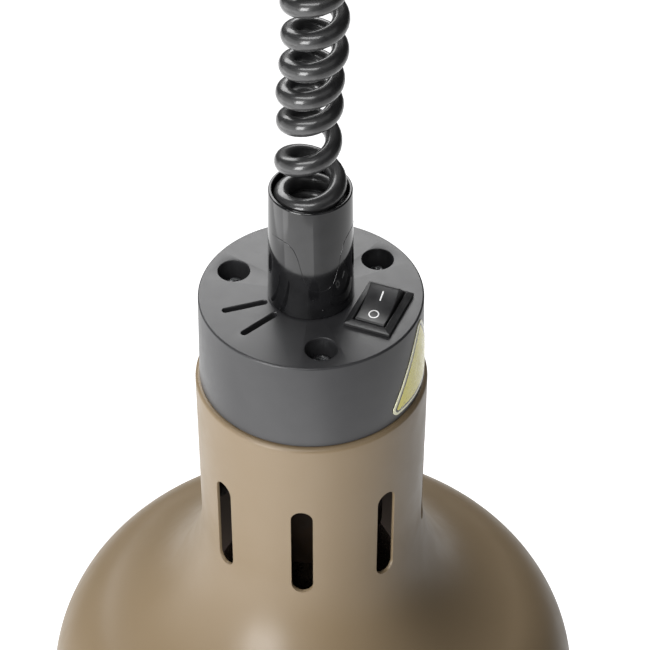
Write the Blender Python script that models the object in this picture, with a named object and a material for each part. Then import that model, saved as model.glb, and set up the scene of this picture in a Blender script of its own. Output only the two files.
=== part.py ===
"""Pendant heat lamp that hangs from a ceiling rose on a spiral cord.

Metres, +Z up. The origin is the middle of the face that the ceiling bracket holds to the ceiling, so
everything hangs below it. Heights of the lamp head are measured from the top of its cap, and lengths in
the tables below are millimetres.
"""

import math

import bmesh
import bpy
from mathutils import Matrix, Vector

MM = 0.001
GAP = 0.3

# Lamp head
CAP_TOP = -220.0
CAP_R_TOP = 35.0
CAP_R_FOOT = 35.6
CAP_HEIGHT = 32.0
CAP_WALL = 2.6
CAP_LID = 3.0

SCREW_CIRCLE_R = 26.2
SCREW_ANGLES = (37.1, 157.1, 277.1)
SCREW_WELL_R = 5.0
SCREW_WELL_DEPTH = 8.0
SCREW_BOSS_R = 7.0
SCREW_R = 1.9
SCREW_LENGTH = 30.0

VENT_ANGLES = (-162.0, -137.0)
VENT_R_IN = 14.2
VENT_R_OUT = 28.5
VENT_WIDTH = 2.0

# Rocker switch, a 21 x 15 mm snap-in
SWITCH_R = 22.6
SWITCH_ANGLE = -22.5
SWITCH_LENGTH = 21.0
SWITCH_WIDTH = 15.0
SWITCH_BEZEL = 1.8
SWITCH_BODY = (19.2, 12.9)
SWITCH_POCKET = (17.7, 10.6)
SWITCH_DEPTH = 12.0
ROCKER_R = 8.6
ROCKER_WIDTH = 9.6
ROCKER_TILT = 18.0
ROCKER_PIVOT = -0.7
ROCKER_DISH = 1.5

# Shade
SHADE_SHEET = 1.0
NECK_R = 37.0
FLANGE_TOP = -CAP_HEIGHT - GAP
FLANGE_R_IN = 20.0
NECK_BEND_R = 1.5
FLARE_TOP = -91.0
FLARE_R = 60.0
SHOULDER_R = 36.0
SHADE_R = 93.0
SHADE_BOTTOM = -250.0
RIM_BEAD_R = 2.0
SLOT_COUNT = 8
SLOT_FIRST_ANGLE = -94.7
SLOT_WIDTH = 7.0
SLOT_TOP = -60.2
SLOT_BOTTOM = -96.8

# Cable cup and spiral cord
CUP_R_BASE = 13.4
CUP_R_MOUTH = 12.6
CUP_BORE_R = 11.6
CUP_HEIGHT = 41.0
CUP_STEM_R = 5.0
CUP_STEM_LENGTH = 14.0
CORD_R = 2.85
COIL_R = 10.3
COIL_LOW = 22.0
COIL_HIGH = -64.0

# Ceiling rose and hanger
ROSE_R = 50.0
ROSE_DEPTH = 38.0
ROSE_WALL = 2.0
ROSE_HOLE_R = 15.0
BRACKET_WIDTH = 20.0
BRACKET_SHEET = 2.0
BRACKET_LEG = 16.0
BRACKET_PLAY = 2.0
BRACKET_SCREW_HOLE_R = 1.8
ROSE_SCREW_HOLE_R = 1.9
ROSE_SCREW_END = 5.0
CEILING_SCREW_HOLE_R = 2.3
CEILING_SCREW_X = 28.0
TERMINAL_SIZE = (20.0, 16.0, 13.0)
TERMINAL_X = -26.0
TERMINAL_PITCH = 5.0
TERMINAL_WELL_R = 1.7
RING_R = 6.0
WIRE_R = 1.75
HOOK_Z = -11.0
UPPER_CUP_TOP = -44.0
UPPER_CUP_MOUTH = -74.0

# Lampholder and bulb
DISC_TOP = FLANGE_TOP - SHADE_SHEET - GAP
DISC_THICK = 2.0
DISC_R = 33.0
HOLDER_TOP = DISC_TOP - DISC_THICK - GAP
HOLDER_BOTTOM = -98.0
HOLDER_SCREW_R = 15.0
HOLDER_R = 23.6
EARTH_R = 16.0
EARTH_ANGLE = 200.0
BULB_TIP = -55.7
BULB_FACE = -233.5
BULB_R = 62.5
THREAD_PITCH = 3.629
THREAD_R = 13.0
THREAD_DEPTH = 0.7


def polar(radius, degrees, z=0.0):
    a = math.radians(degrees)
    return Vector((radius * math.cos(a), radius * math.sin(a), z))


def arc(centre_r, centre_z, radius, start, end, steps):
    """Points of an arc in a turned profile, as (radius, height) pairs."""
    points = []
    for i in range(steps + 1):
        a = math.radians(start + (end - start) * i / steps)
        points.append((centre_r + radius * math.cos(a), centre_z + radius * math.sin(a)))
    return points


def material(name, colour, roughness, metallic=0.0):
    m = bpy.data.materials.new(name)
    m.use_nodes = True
    bsdf = m.node_tree.nodes["Principled BSDF"]
    bsdf.inputs["Base Color"].default_value = (*colour, 1.0)
    bsdf.inputs["Roughness"].default_value = roughness
    bsdf.inputs["Metallic"].default_value = metallic
    return m


def empty(name, location_mm, parent=None):
    e = bpy.data.objects.new(name, None)
    e.location = Vector(location_mm) * MM
    e.parent = parent
    bpy.context.scene.collection.objects.link(e)
    return e


def add(name, bm, mat, parent=None, location_mm=(0, 0, 0), turn_z=0.0):
    """Object from a closed bmesh drawn in millimetres."""
    bmesh.ops.scale(bm, vec=(MM, MM, MM), verts=bm.verts)
    bmesh.ops.recalc_face_normals(bm, faces=bm.faces)
    mesh = bpy.data.meshes.new(name)
    bm.to_mesh(mesh)
    bm.free()
    mesh.shade_smooth()
    mesh.set_sharp_from_angle(angle=math.radians(35))
    if mat:
        mesh.materials.append(mat)
    o = bpy.data.objects.new(name, mesh)
    o.location = Vector(location_mm) * MM
    o.rotation_euler = (0, 0, math.radians(turn_z))
    o.parent = parent
    bpy.context.scene.collection.objects.link(o)
    return o


def turned(profile, sides):
    """Closed bmesh of a profile of (radius, height) pairs turned about Z."""
    bm = bmesh.new()
    rings = []
    for r, z in profile:
        if r < 1e-6:
            rings.append([bm.verts.new((0, 0, z))])
        else:
            rings.append([bm.verts.new(polar(r, 360 * k / sides, z)) for k in range(sides)])
    for i, a in enumerate(rings):
        b = rings[(i + 1) % len(rings)]
        if len(a) == 1 and len(b) == 1:
            continue
        for k in range(sides):
            j = (k + 1) % sides
            corners = [a[k % len(a)], a[j % len(a)], b[j % len(b)], b[k % len(b)]]
            bm.faces.new(list(dict.fromkeys(corners)))
    return bm


def prism(outline, low, high):
    """Closed bmesh of a flat (x, y) outline between two heights."""
    bm = bmesh.new()
    face = bm.faces.new([bm.verts.new((x, y, low)) for x, y in outline])
    grown = bmesh.ops.extrude_face_region(bm, geom=[face])
    top = [v for v in grown["geom"] if isinstance(v, bmesh.types.BMVert)]
    bmesh.ops.translate(bm, vec=(0, 0, high - low), verts=top)
    return bm


def block(size, centre):
    x, y, z = (s / 2 for s in size)
    bm = prism([(-x, -y), (x, -y), (x, y), (-x, y)], -z, z)
    bmesh.ops.translate(bm, vec=centre, verts=bm.verts)
    return bm


def pin(radius, low, high, sides=20):
    return turned([(0, low), (radius, low), (radius, high), (0, high)], sides)


def moved(bm, matrix):
    bmesh.ops.transform(bm, matrix=matrix, verts=bm.verts)
    return bm


def hexagonal_nut(across_flats, bore_r, low, high):
    """Nut with a round bore: the outline runs round the hexagon, the bore follows it point by point."""
    steps = 24
    outer, inner = [], []
    for k in range(steps):
        degrees = 360 * k / steps
        from_flat = (degrees + 30) % 60 - 30
        outer.append(polar(across_flats / 2 / math.cos(math.radians(from_flat)), degrees))
        inner.append(polar(bore_r, degrees))
    bm = bmesh.new()
    rings = []
    for ring, z in ((outer, low), (outer, high), (inner, high), (inner, low)):
        rings.append([bm.verts.new((p.x, p.y, z)) for p in ring])
    for i, a in enumerate(rings):
        b = rings[(i + 1) % 4]
        for k in range(steps):
            j = (k + 1) % steps
            bm.faces.new([a[k], a[j], b[j], b[k]])
    return bm


def swept(points, radius, sides=10):
    """Closed bmesh of a round rod along a line of points, with flat ends."""
    points = [Vector(p) for p in points]
    bm = bmesh.new()
    rings = []
    side = None
    for i, p in enumerate(points):
        before = points[max(i - 1, 0)]
        after = points[min(i + 1, len(points) - 1)]
        along = (after - before).normalized()
        if side is None:
            side = along.orthogonal()
        side = (side - along * side.dot(along)).normalized()
        other = along.cross(side)
        ring = []
        for k in range(sides):
            a = math.tau * k / sides
            ring.append(bm.verts.new(p + (side * math.cos(a) + other * math.sin(a)) * radius))
        rings.append(ring)
    for a, b in zip(rings, rings[1:]):
        for k in range(sides):
            j = (k + 1) % sides
            bm.faces.new([a[k], a[j], b[j], b[k]])
    bm.faces.new(rings[0])
    bm.faces.new(list(reversed(rings[-1])))
    return bm


def smooth_line(route, steps_between=4):
    """Catmull-Rom line through a few hand-placed points."""
    p = [Vector(r) for r in route]
    p = [2 * p[0] - p[1], *p, 2 * p[-1] - p[-2]]
    line = []
    for i in range(1, len(p) - 2):
        for s in range(steps_between):
            t = s / steps_between
            line.append(
                0.5
                * (
                    2 * p[i]
                    + (p[i + 1] - p[i - 1]) * t
                    + (2 * p[i - 1] - 5 * p[i] + 4 * p[i + 1] - p[i + 2]) * t**2
                    + (3 * p[i] - p[i - 1] - 3 * p[i + 1] + p[i + 2]) * t**3
                )
            )
    line.append(p[-2])
    return line


def eye_line(top, eye_z, direction):
    """Straight stem that bends into an open eye in the XZ plane: below the stem if direction is -1."""
    first, sweep = math.radians(35), math.radians(270)
    bend_length = 1.5
    bend_steps, ring_steps = 3, 15

    def on_ring(angle):
        return Vector((RING_R * math.sin(angle), 0, eye_z - direction * RING_R * math.cos(angle)))

    corner = on_ring(0)
    bend_start = corner - Vector((0, 0, direction * bend_length))
    line = [Vector((0, 0, top))]
    for i in range(bend_steps):
        t = i / bend_steps
        line.append(bend_start * (1 - t) ** 2 + 2 * corner * t * (1 - t) + on_ring(first) * t**2)
    line += [on_ring(first + sweep * i / ring_steps) for i in range(ring_steps + 1)]
    return line


def boolean(o, other, operation):
    """Cuts other from o, or joins it to o. other stays as a hidden guide."""
    other.hide_render = True
    other.display_type = "WIRE"
    m = o.modifiers.new(operation.title(), "BOOLEAN")
    m.object = other
    m.operation = operation
    m.solver = "EXACT"


def cut(o, name, bm, turn_z=0.0):
    boolean(o, add(f"{name}_cutter", bm, None, o.parent, turn_z=turn_z), "DIFFERENCE")


def merged(shapes):
    """One bmesh from several that don't touch, for a cutter that works in many places."""
    joined = bmesh.new()
    for bm in shapes:
        mesh = bpy.data.meshes.new("piece")
        bm.to_mesh(mesh)
        bm.free()
        joined.from_mesh(mesh)
        bpy.data.meshes.remove(mesh)
    return joined


def at(x, y, z=0.0, degrees=0.0):
    return Matrix.Translation((x, y, z)) @ Matrix.Rotation(math.radians(degrees), 4, "Z")


def on_circle(radius, degrees, z=0.0):
    p = polar(radius, degrees, z)
    return at(p.x, p.y, p.z, degrees)


def stadium(length, width, steps=6):
    """Outline with round ends, long along X."""
    half = (length - width) / 2
    points = []
    for end, start in ((half, -90), (-half, 90)):
        for i in range(steps + 1):
            a = math.radians(start + 180 * i / steps)
            points.append((end + width / 2 * math.cos(a), width / 2 * math.sin(a)))
    return points


def holes_along_x(radius, x, z):
    """Two pins along X, one each side, that cut holes through walls near x."""
    along_x = Matrix.Rotation(math.pi / 2, 4, "Y")
    reach = 4
    holes = []
    for side in (1, -1):
        place = Matrix.Translation((side * x, 0, z))
        holes.append(moved(pin(radius, -reach, reach, 16), place @ along_x))
    return holes


def screw(end, radius, seat, head):
    """Turned profile of a screw, point down: its end, shank and the steps of its head above its seat."""
    return [(0, end), (radius, end), (radius, seat), *[(r, seat + h) for r, h in head]]


def ceiling_parts(mats):
    """Bracket, hook, rose cover, its side screws and the terminal block, all fixed to the ceiling."""
    leg_out = ROSE_R - ROSE_WALL - BRACKET_PLAY
    leg_in = leg_out - BRACKET_SHEET
    half = [(leg_out, 0), (leg_out, -BRACKET_LEG), (leg_in, -BRACKET_LEG), (leg_in, -BRACKET_SHEET)]
    outline = half + [(-x, z) for x, z in reversed(half)]
    bm = prism(outline, -BRACKET_WIDTH / 2, BRACKET_WIDTH / 2)
    stand_up = Matrix.Rotation(math.pi / 2, 4, "X")
    bracket = add("ceiling_bracket", moved(bm, stand_up), mats["zinc"])
    screw_z = ROSE_SCREW_END - BRACKET_LEG
    holes = holes_along_x(BRACKET_SCREW_HOLE_R, leg_in + BRACKET_SHEET / 2, screw_z)
    for side in (1, -1):
        hole = pin(CEILING_SCREW_HOLE_R, -BRACKET_SHEET - 1, 1, 16)
        holes.append(moved(hole, at(side * CEILING_SCREW_X, 0)))
    cut(bracket, "bracket_holes", merged(holes))

    add("ceiling_hook", swept(eye_line(-BRACKET_SHEET - GAP, HOOK_Z, -1), WIRE_R, 8), mats["zinc"])

    corner = 12.0
    inner = ROSE_R - ROSE_WALL
    profile = [(ROSE_R, -GAP)]
    profile += arc(ROSE_R - corner, corner - ROSE_DEPTH, corner, 0, -90, 4)
    profile += [(ROSE_HOLE_R, -ROSE_DEPTH), (ROSE_HOLE_R, ROSE_WALL - ROSE_DEPTH)]
    profile += arc(ROSE_R - corner, corner - ROSE_DEPTH, corner - ROSE_WALL, -90, 0, 4)
    profile += [(inner, -GAP)]
    rose = add("ceiling_rose", turned(profile, 36), mats["black_satin"])
    cut(rose, "rose_holes", merged(holes_along_x(ROSE_SCREW_HOLE_R, ROSE_R - 1, screw_z)))

    for name, side in (("rose_screw_right", 1), ("rose_screw_left", -1)):
        bm = turned(screw(-8, 1.5, GAP, [(3.2, 0), (3.2, 1.1), (2.0, 1.8), (0, 1.8)]), 16)
        place = Matrix.Translation((side * ROSE_R, 0, screw_z))
        turn = Matrix.Rotation(side * math.pi / 2, 4, "Y")
        add(name, moved(bm, place @ turn), mats["zinc"])

    height = TERMINAL_SIZE[2]
    top = -BRACKET_SHEET - GAP
    bm = block(TERMINAL_SIZE, (TERMINAL_X, 0, top - height / 2))
    terminal = add("terminal_block", bm, mats["ivory"])
    wells = []
    for number in (-1, 0, 1):
        well = pin(TERMINAL_WELL_R, top - height - 2, top - height / 2, 12)
        wells.append(moved(well, at(TERMINAL_X, number * TERMINAL_PITCH)))
    cut(terminal, "terminal_wells", merged(wells))


def hanger_parts(mats):
    """Link and hanger that let the lamp swing, and the upper cup that takes the spiral cord."""
    hook_wire_z = HOOK_Z - RING_R
    link_z = hook_wire_z + 2 * WIRE_R + GAP - RING_R
    link_pivot = empty("link_pivot", (0, 0, hook_wire_z))
    profile = arc(RING_R, 0, WIRE_R, 0, 360, 8)[:-1]
    bm = moved(turned(profile, 20), Matrix.Rotation(math.pi / 2, 4, "Y"))
    add("swivel_link", bm, mats["zinc"], link_pivot, (0, 0, link_z - hook_wire_z))

    link_wire_z = link_z - RING_R
    pivot = empty("hanger_pivot", (0, 0, link_wire_z))
    eye_z = 2 * WIRE_R + GAP - RING_R
    cup_top = UPPER_CUP_TOP - link_wire_z
    cup_mouth = UPPER_CUP_MOUTH - link_wire_z
    plate = 4.0
    nut_height = 3.0
    stem_end = cup_top - plate - GAP - nut_height - 1
    add("hanger_eye", swept(eye_line(stem_end, eye_z, 1), WIRE_R, 8), mats["zinc"], pivot)

    stem_hole = 2.2
    profile = [(stem_hole, cup_top), (CUP_R_BASE - 0.8, cup_top), (CUP_R_BASE, cup_top - 0.8)]
    profile += [(CUP_R_MOUTH, cup_mouth + 0.6), (CUP_R_MOUTH - 0.5, cup_mouth), (CUP_BORE_R, cup_mouth)]
    profile += [(CUP_BORE_R, cup_top - plate), (stem_hole, cup_top - plate)]
    cup = add("upper_cable_cup", turned(profile, 28), mats["black_gloss"], pivot)
    tail_x = 7.0
    cord_hole = pin(CORD_R + GAP, cup_top - plate - 2, cup_top + 2, 16)
    cut(cup, "upper_cup_cord_hole", moved(cord_hole, at(tail_x, 0)))

    nut_top = cup_top - plate - GAP
    nut = hexagonal_nut(6.0, 2.1, nut_top - nut_height, nut_top)
    add("hanger_nut", nut, mats["zinc"], pivot)

    route = [(tail_x, 0, cup_top - 11), (tail_x, 0, cup_top - 2), (tail_x + 1, 0, cup_top + 7)]
    route += [(13, 3, cup_top + 15), (18, 8, cup_top + 19)]
    add("cord_tail_upper", swept(smooth_line(route, 3), CORD_R, 8), mats["rubber"], pivot)


def cord_part(mats):
    """The spiral cord as the sleeve that its turns fill, from inside one cup to inside the other."""
    low = CAP_TOP + COIL_LOW
    bore = COIL_R - 2 * CORD_R
    bm = turned([(COIL_R, low), (COIL_R, COIL_HIGH), (bore, COIL_HIGH), (bore, low)], 24)
    add("spiral_cord", bm, mats["rubber"])


def cable_cup_parts(mats, head):
    """Glossy cup on the cap, its nut, the clamp in its floor and the cord that goes on down through it."""
    floor = 6.0
    cord_hole = CORD_R + 0.45
    profile = [(CUP_STEM_R, -CUP_STEM_LENGTH), (CUP_STEM_R, GAP), (CUP_R_BASE, GAP), (CUP_R_BASE, 1.5)]
    profile += [(CUP_R_MOUTH, CUP_HEIGHT - 0.6), (CUP_R_MOUTH - 0.5, CUP_HEIGHT)]
    profile += [(CUP_BORE_R, CUP_HEIGHT - 0.4)]
    profile += [(CUP_BORE_R, floor), (cord_hole, floor), (cord_hole, -CUP_STEM_LENGTH)]
    add("cable_cup", turned(profile, 28), mats["black_gloss"], head)
    nut = hexagonal_nut(15.0, CUP_STEM_R + 0.2, -CAP_LID - GAP - 5, -CAP_LID - GAP)
    add("cable_cup_nut", nut, mats["zinc"], head)
    low = floor + GAP
    profile = [(cord_hole, low), (10.8, low), (10.8, low + 5), (8.5, low + 8), (cord_hole, low + 8)]
    add("cord_grip", turned(profile, 24), mats["ivory"], head)
    add("cord_tail_lower", pin(CORD_R, -CUP_STEM_LENGTH - 3, COIL_LOW - GAP, 16), mats["rubber"], head)


def cap_parts(mats, head):
    """Moulded cap with screw wells, vents and the switch opening, its three screws and the label."""
    hole_r = CUP_STEM_R + 0.4
    profile = [(CAP_R_TOP - 0.7, 0), (CAP_R_TOP - 0.2, -0.25), (CAP_R_TOP, -0.8), (CAP_R_FOOT, -CAP_HEIGHT)]
    profile += [(CAP_R_FOOT - CAP_WALL, -CAP_HEIGHT), (CAP_R_TOP - CAP_WALL, -CAP_LID)]
    profile += [(hole_r, -CAP_LID), (hole_r, 0)]
    cap = add("cap", turned(profile, 48), mats["cap_grey"], head)
    boss_top = 1 - CAP_LID
    screw_hole_r = SCREW_R + 0.4
    seat, foot = -SCREW_WELL_DEPTH, -CAP_HEIGHT - 1
    profile = [(0, 1), (SCREW_WELL_R, 1), (SCREW_WELL_R, seat), (screw_hole_r, seat), (screw_hole_r, foot)]
    profile += [(0, foot)]
    bosses, wells = [], []
    for a in SCREW_ANGLES:
        place = on_circle(SCREW_CIRCLE_R, a)
        bosses.append(moved(pin(SCREW_BOSS_R, -CAP_HEIGHT, boss_top, 16), place))
        wells.append(moved(turned(profile, 20), place))
    boolean(cap, add("screw_bosses", merged(bosses), None, head), "UNION")
    cut(cap, "screw_wells", merged(wells))
    middle = (VENT_R_IN + VENT_R_OUT) / 2
    outline = stadium(VENT_R_OUT - VENT_R_IN, VENT_WIDTH, 4)
    vents = [moved(prism(outline, -CAP_LID - 1, 1), on_circle(middle, a)) for a in VENT_ANGLES]
    cut(cap, "vents", merged(vents))
    opening = block((SWITCH_BODY[1] + 0.4, SWITCH_BODY[0] + 0.4, 10), (0, 0, 0))
    cut(cap, "switch_opening", moved(opening, on_circle(SWITCH_R, SWITCH_ANGLE)))

    seat = -SCREW_WELL_DEPTH + GAP
    head_steps = [(3.6, 0), (3.6, 1.3), (2.6, 2.2), (0, 2.5)]
    for number, a in enumerate(SCREW_ANGLES, 1):
        bm = turned(screw(seat - SCREW_LENGTH, SCREW_R, seat, head_steps), 16)
        add(f"cap_screw_{number}", bm, mats["zinc"], head, polar(SCREW_CIRCLE_R, a))

    label_parts(mats, head)


def label_parts(mats, head):
    """Thin sticker, a triangle with round corners, that wraps the side of the cap."""
    side_angle = -19.0
    side_length = 35.0
    corner_r = 2.5
    thickness = 0.25
    draft = (CAP_R_FOOT - CAP_R_TOP) / CAP_HEIGHT
    top = -1.3
    bottom = -31.6
    inner_top = CAP_R_TOP + 0.1
    back = [(inner_top - draft * z, z) for z in (top, bottom)]
    profile = [back[0], *[(r + thickness, z) for r, z in back], back[1]]
    height = side_length * math.sqrt(3) / 2
    centre = bottom + 1.9 + height / 3
    spread = height * 2 / 3 - 2 * corner_r
    outline = []
    for apex in (90, 210, 330):
        middle = polar(spread, apex)
        for i in range(5):
            p = middle + polar(corner_r, apex - 60 + 30 * i)
            outline.append((p.x, p.y))
    # The outline is drawn lying down, then stood up so that it crosses the wall of the cap.
    stand_up = Matrix.Rotation(math.pi / 2, 4, "Z") @ Matrix.Rotation(math.pi / 2, 4, "X")
    bm = moved(prism(outline, 25, 45), Matrix.Rotation(math.radians(side_angle), 4, "Z") @ stand_up)
    bmesh.ops.translate(bm, vec=(0, 0, centre), verts=bm.verts)
    label = add("label", turned(profile, 72), mats["label_yellow"], head)
    boolean(label, add("label_outline", bm, None, head), "INTERSECT")


def switch_parts(mats, head):
    """Snap-in rocker switch: body with bezel, rocker on its pivot and two blade terminals."""
    bezel_top = GAP + SWITCH_BEZEL
    place = polar(SWITCH_R, SWITCH_ANGLE)
    bm = block((SWITCH_WIDTH, SWITCH_LENGTH, SWITCH_BEZEL), (0, 0, GAP + SWITCH_BEZEL / 2))
    top_edges = [e for e in bm.edges if min(v.co.z for v in e.verts) > bezel_top - 0.01]
    bmesh.ops.bevel(bm, geom=top_edges, offset=0.7, segments=2, affect="EDGES", profile=0.5)
    body = add("switch_body", bm, mats["black_satin"], head, place, SWITCH_ANGLE)
    depth = SWITCH_DEPTH + 1
    base = block((SWITCH_BODY[1], SWITCH_BODY[0], depth), (0, 0, 1 - depth / 2))
    boolean(body, add("switch_base", base, None, head, place, SWITCH_ANGLE), "UNION")
    pocket_floor, above = -7.5, 6.0
    pocket_size = (SWITCH_POCKET[1], SWITCH_POCKET[0], above - pocket_floor)
    pocket = block(pocket_size, (0, 0, (above + pocket_floor) / 2))
    boolean(body, add("switch_pocket", pocket, None, head, place, SWITCH_ANGLE), "DIFFERENCE")

    ends = [tuple(polar(ROCKER_R, a).xy) for a in (-12, 0, 13, 26, 38)]
    top = ends[-1][1]
    half = [(5, -2.6), *ends, (3.6, top - 0.72 * ROCKER_DISH)]
    outline = [*half, (0, top - ROCKER_DISH), *[(-x, y) for x, y in reversed(half)]]
    # The outline is the rocker's side view: x along the switch, y up. It stands up and tilts to off.
    stand_up = Matrix.Rotation(math.pi / 2, 4, "Z") @ Matrix.Rotation(math.pi / 2, 4, "X")
    tilt = Matrix.Rotation(math.radians(ROCKER_TILT), 4, "X")
    bm = moved(prism(outline, -ROCKER_WIDTH / 2, ROCKER_WIDTH / 2), tilt @ stand_up)
    pivot = place + Vector((0, 0, ROCKER_PIVOT))
    add("switch_rocker", bm, mats["black_satin"], head, pivot, SWITCH_ANGLE)

    for name, along in (("switch_terminal_feed", -5.0), ("switch_terminal_lamp", 5.0)):
        bm = block((4.8, 0.8, 7), (0, along, -SWITCH_DEPTH - GAP - 3.5))
        add(name, bm, mats["brass"], head, place, SWITCH_ANGLE)


def shade_part(mats, head):
    """Spun shade: inward flange under the cap, slotted neck, flare, shoulder, straight skirt and rim bead."""
    flare_centre = (NECK_R + FLARE_R, FLARE_TOP)
    across = flare_centre[0] - (SHADE_R - SHOULDER_R)
    reach = FLARE_R + SHOULDER_R
    drop = math.sqrt(reach**2 - across**2)
    shoulder_centre = (SHADE_R - SHOULDER_R, FLARE_TOP - drop)
    meet = math.degrees(math.atan2(drop, across))
    bend_centre = (NECK_R - NECK_BEND_R, FLANGE_TOP - NECK_BEND_R)
    t = SHADE_SHEET

    profile = [(FLANGE_R_IN, FLANGE_TOP)]
    profile += arc(*bend_centre, NECK_BEND_R, 90, 0, 2)
    profile += arc(*flare_centre, FLARE_R, 180, 180 + meet, 6)
    profile += arc(*shoulder_centre, SHOULDER_R, meet, 0, 6)[1:]
    bead_z = SHADE_BOTTOM + RIM_BEAD_R
    profile += arc(SHADE_R, bead_z, RIM_BEAD_R, 90, -90, 4)
    profile += [(SHADE_R - t, SHADE_BOTTOM)]
    profile += arc(*shoulder_centre, SHOULDER_R - t, 0, meet, 6)
    profile += arc(*flare_centre, FLARE_R + t, 180 + meet, 180, 6)[1:]
    profile += arc(*bend_centre, NECK_BEND_R - t, 0, 90, 1)
    profile += [(FLANGE_R_IN, FLANGE_TOP - t)]
    shade = add("shade", turned(profile, 40), mats["shade_bronze"], head)

    stand_up = Matrix.Rotation(math.pi / 2, 4, "Y")
    slots = []
    for k in range(SLOT_COUNT):
        bm = moved(prism(stadium(SLOT_TOP - SLOT_BOTTOM, SLOT_WIDTH, 4), 30, 44), stand_up)
        bmesh.ops.translate(bm, vec=(0, 0, (SLOT_TOP + SLOT_BOTTOM) / 2), verts=bm.verts)
        slots.append(moved(bm, at(0, 0, 0, SLOT_FIRST_ANGLE + 360 * k / SLOT_COUNT)))
    cut(shade, "neck_slots", merged(slots))
    low, high = FLANGE_TOP - 3, FLANGE_TOP + 2
    holes = [moved(pin(SCREW_R + 0.5, low, high, 12), on_circle(SCREW_CIRCLE_R, a)) for a in SCREW_ANGLES]
    cut(shade, "flange_holes", merged(holes))


def lampholder_parts(mats, head):
    """Steel disc that the cap screws pull up, and under it the lampholder with its cup, shell and contact."""
    disc_bottom = DISC_TOP - DISC_THICK
    profile = [(12, DISC_TOP), (DISC_R, DISC_TOP), (DISC_R, disc_bottom), (12, disc_bottom)]
    disc = add("mounting_disc", turned(profile, 32), mats["zinc"], head)
    places = [(SCREW_R + 0.15, SCREW_CIRCLE_R, a) for a in SCREW_ANGLES]
    places += [(1.7, HOLDER_SCREW_R, 90), (1.7, HOLDER_SCREW_R, 270), (1.7, EARTH_R, EARTH_ANGLE)]
    holes = [moved(pin(hole, disc_bottom - 1, DISC_TOP + 1, 12), on_circle(r, a)) for hole, r, a in places]
    cut(disc, "disc_holes", merged(holes))

    sheet = 1.0
    profile = [(10, HOLDER_TOP), (HOLDER_R, HOLDER_TOP), (HOLDER_R, HOLDER_BOTTOM)]
    profile += [(HOLDER_R - sheet, HOLDER_BOTTOM), (HOLDER_R - sheet, HOLDER_TOP - sheet)]
    profile += [(10, HOLDER_TOP - sheet)]
    cup = add("lampholder_cup", turned(profile, 32), mats["black_paint"], head)
    low, high = HOLDER_TOP - sheet - 1, HOLDER_TOP + 1
    holes = [moved(pin(1.7, low, high, 12), on_circle(HOLDER_SCREW_R, a)) for a in (90, 270)]
    cut(cup, "holder_cup_holes", merged(holes))

    body_top = HOLDER_TOP - sheet - GAP
    roof = -53.0
    profile = [(3, body_top), (22, body_top), (22, -82), (14.8, -82), (14.8, roof), (3, roof)]
    body = add("lampholder_body", turned(profile, 32), mats["porcelain"], head)
    holes = [moved(pin(1.65, -50, body_top + 1, 12), on_circle(HOLDER_SCREW_R, a)) for a in (90, 270)]
    holes += [moved(pin(1.6, roof - 1, body_top + 1, 12), at(8, 0))]
    cut(body, "holder_body_holes", merged(holes))

    head_steps = [(2.7, 0), (2.7, 1.2), (1.6, 1.8), (0, 1.8)]
    for name, a in (("lampholder_screw_front", 270), ("lampholder_screw_back", 90)):
        bm = turned(screw(-48, 1.5, DISC_TOP + GAP, head_steps), 16)
        add(name, bm, mats["zinc"], head, polar(HOLDER_SCREW_R, a))

    shell_top, shell_end = -55.6, -81.5
    profile = [(6.5, shell_top), (14.5, shell_top), (14.5, shell_end), (13.6, shell_end)]
    profile += [(13.6, shell_top - 0.8), (6.5, shell_top - 0.8)]
    add("screw_shell", turned(profile, 32), mats["brass"], head)
    contact_top, contact_end = roof - GAP, BULB_TIP + GAP
    profile = [(0, -44), (1.4, -44), (1.4, contact_top), (4.5, contact_top), (4.5, contact_end)]
    add("centre_contact", turned([*profile, (0, contact_end)], 20), mats["brass"], head)


def wire_parts(mats, head):
    """Insulated wires in the cap, from the cord's end to the switch, the lampholder and the earth screw."""
    cord_end = -CUP_STEM_LENGTH - 3 - GAP
    terminal_end = -SWITCH_DEPTH - GAP - 7 - GAP
    across = polar(1, SWITCH_ANGLE + 90)
    centre = polar(SWITCH_R, SWITCH_ANGLE)
    feed = centre - across * 5
    lamp = centre + across * 5
    earth = polar(EARTH_R, EARTH_ANGLE)
    wire_r = 0.9
    routes = {
        "wire_feed": ("wire_brown", [
            (1.3, -0.8, cord_end), (1.3, -0.8, cord_end - 3), (6, -6, -24.5), (feed.x - 3, feed.y + 1, -25),
            (feed.x, feed.y, terminal_end - 1.5), (feed.x, feed.y, terminal_end),
        ]),
        "wire_switched": ("wire_brown", [
            (lamp.x, lamp.y, terminal_end), (lamp.x, lamp.y, terminal_end - 1.5),
            (lamp.x - 5, lamp.y + 1, -25), (8, 3, -28), (1.5, 0.8, -33), (0, 0, -38), (0, 0, -44 + GAP),
        ]),
        "wire_neutral": ("wire_blue", [
            (-1.3, -0.8, cord_end), (-1.3, -0.8, cord_end - 3), (-2, -3, -26), (4, -2.5, -32), (8, 0, -38),
            (8, 0, -46), (8, 0, -55.6 + GAP),
        ]),
        "wire_earth": ("wire_green", [
            (0, 1.4, cord_end), (0, 1.4, cord_end - 3), (-4, 2, -24.5), (-12, -3, -26.5),
            (earth.x, earth.y, DISC_TOP + 5), (earth.x, earth.y, DISC_TOP + 2.6 + 2 * GAP),
        ]),
    }
    for name, (mat, route) in routes.items():
        add(name, swept(smooth_line(route, 3), wire_r, 8), mats[mat], head)
    seat = DISC_TOP + GAP
    bm = turned(screw(seat - 2, 1.5, seat, [(3.2, 0), (3.2, 1.5), (2.4, 2.3), (0, 2.3)]), 16)
    add("earth_screw", bm, mats["brass"], head, earth)


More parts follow.
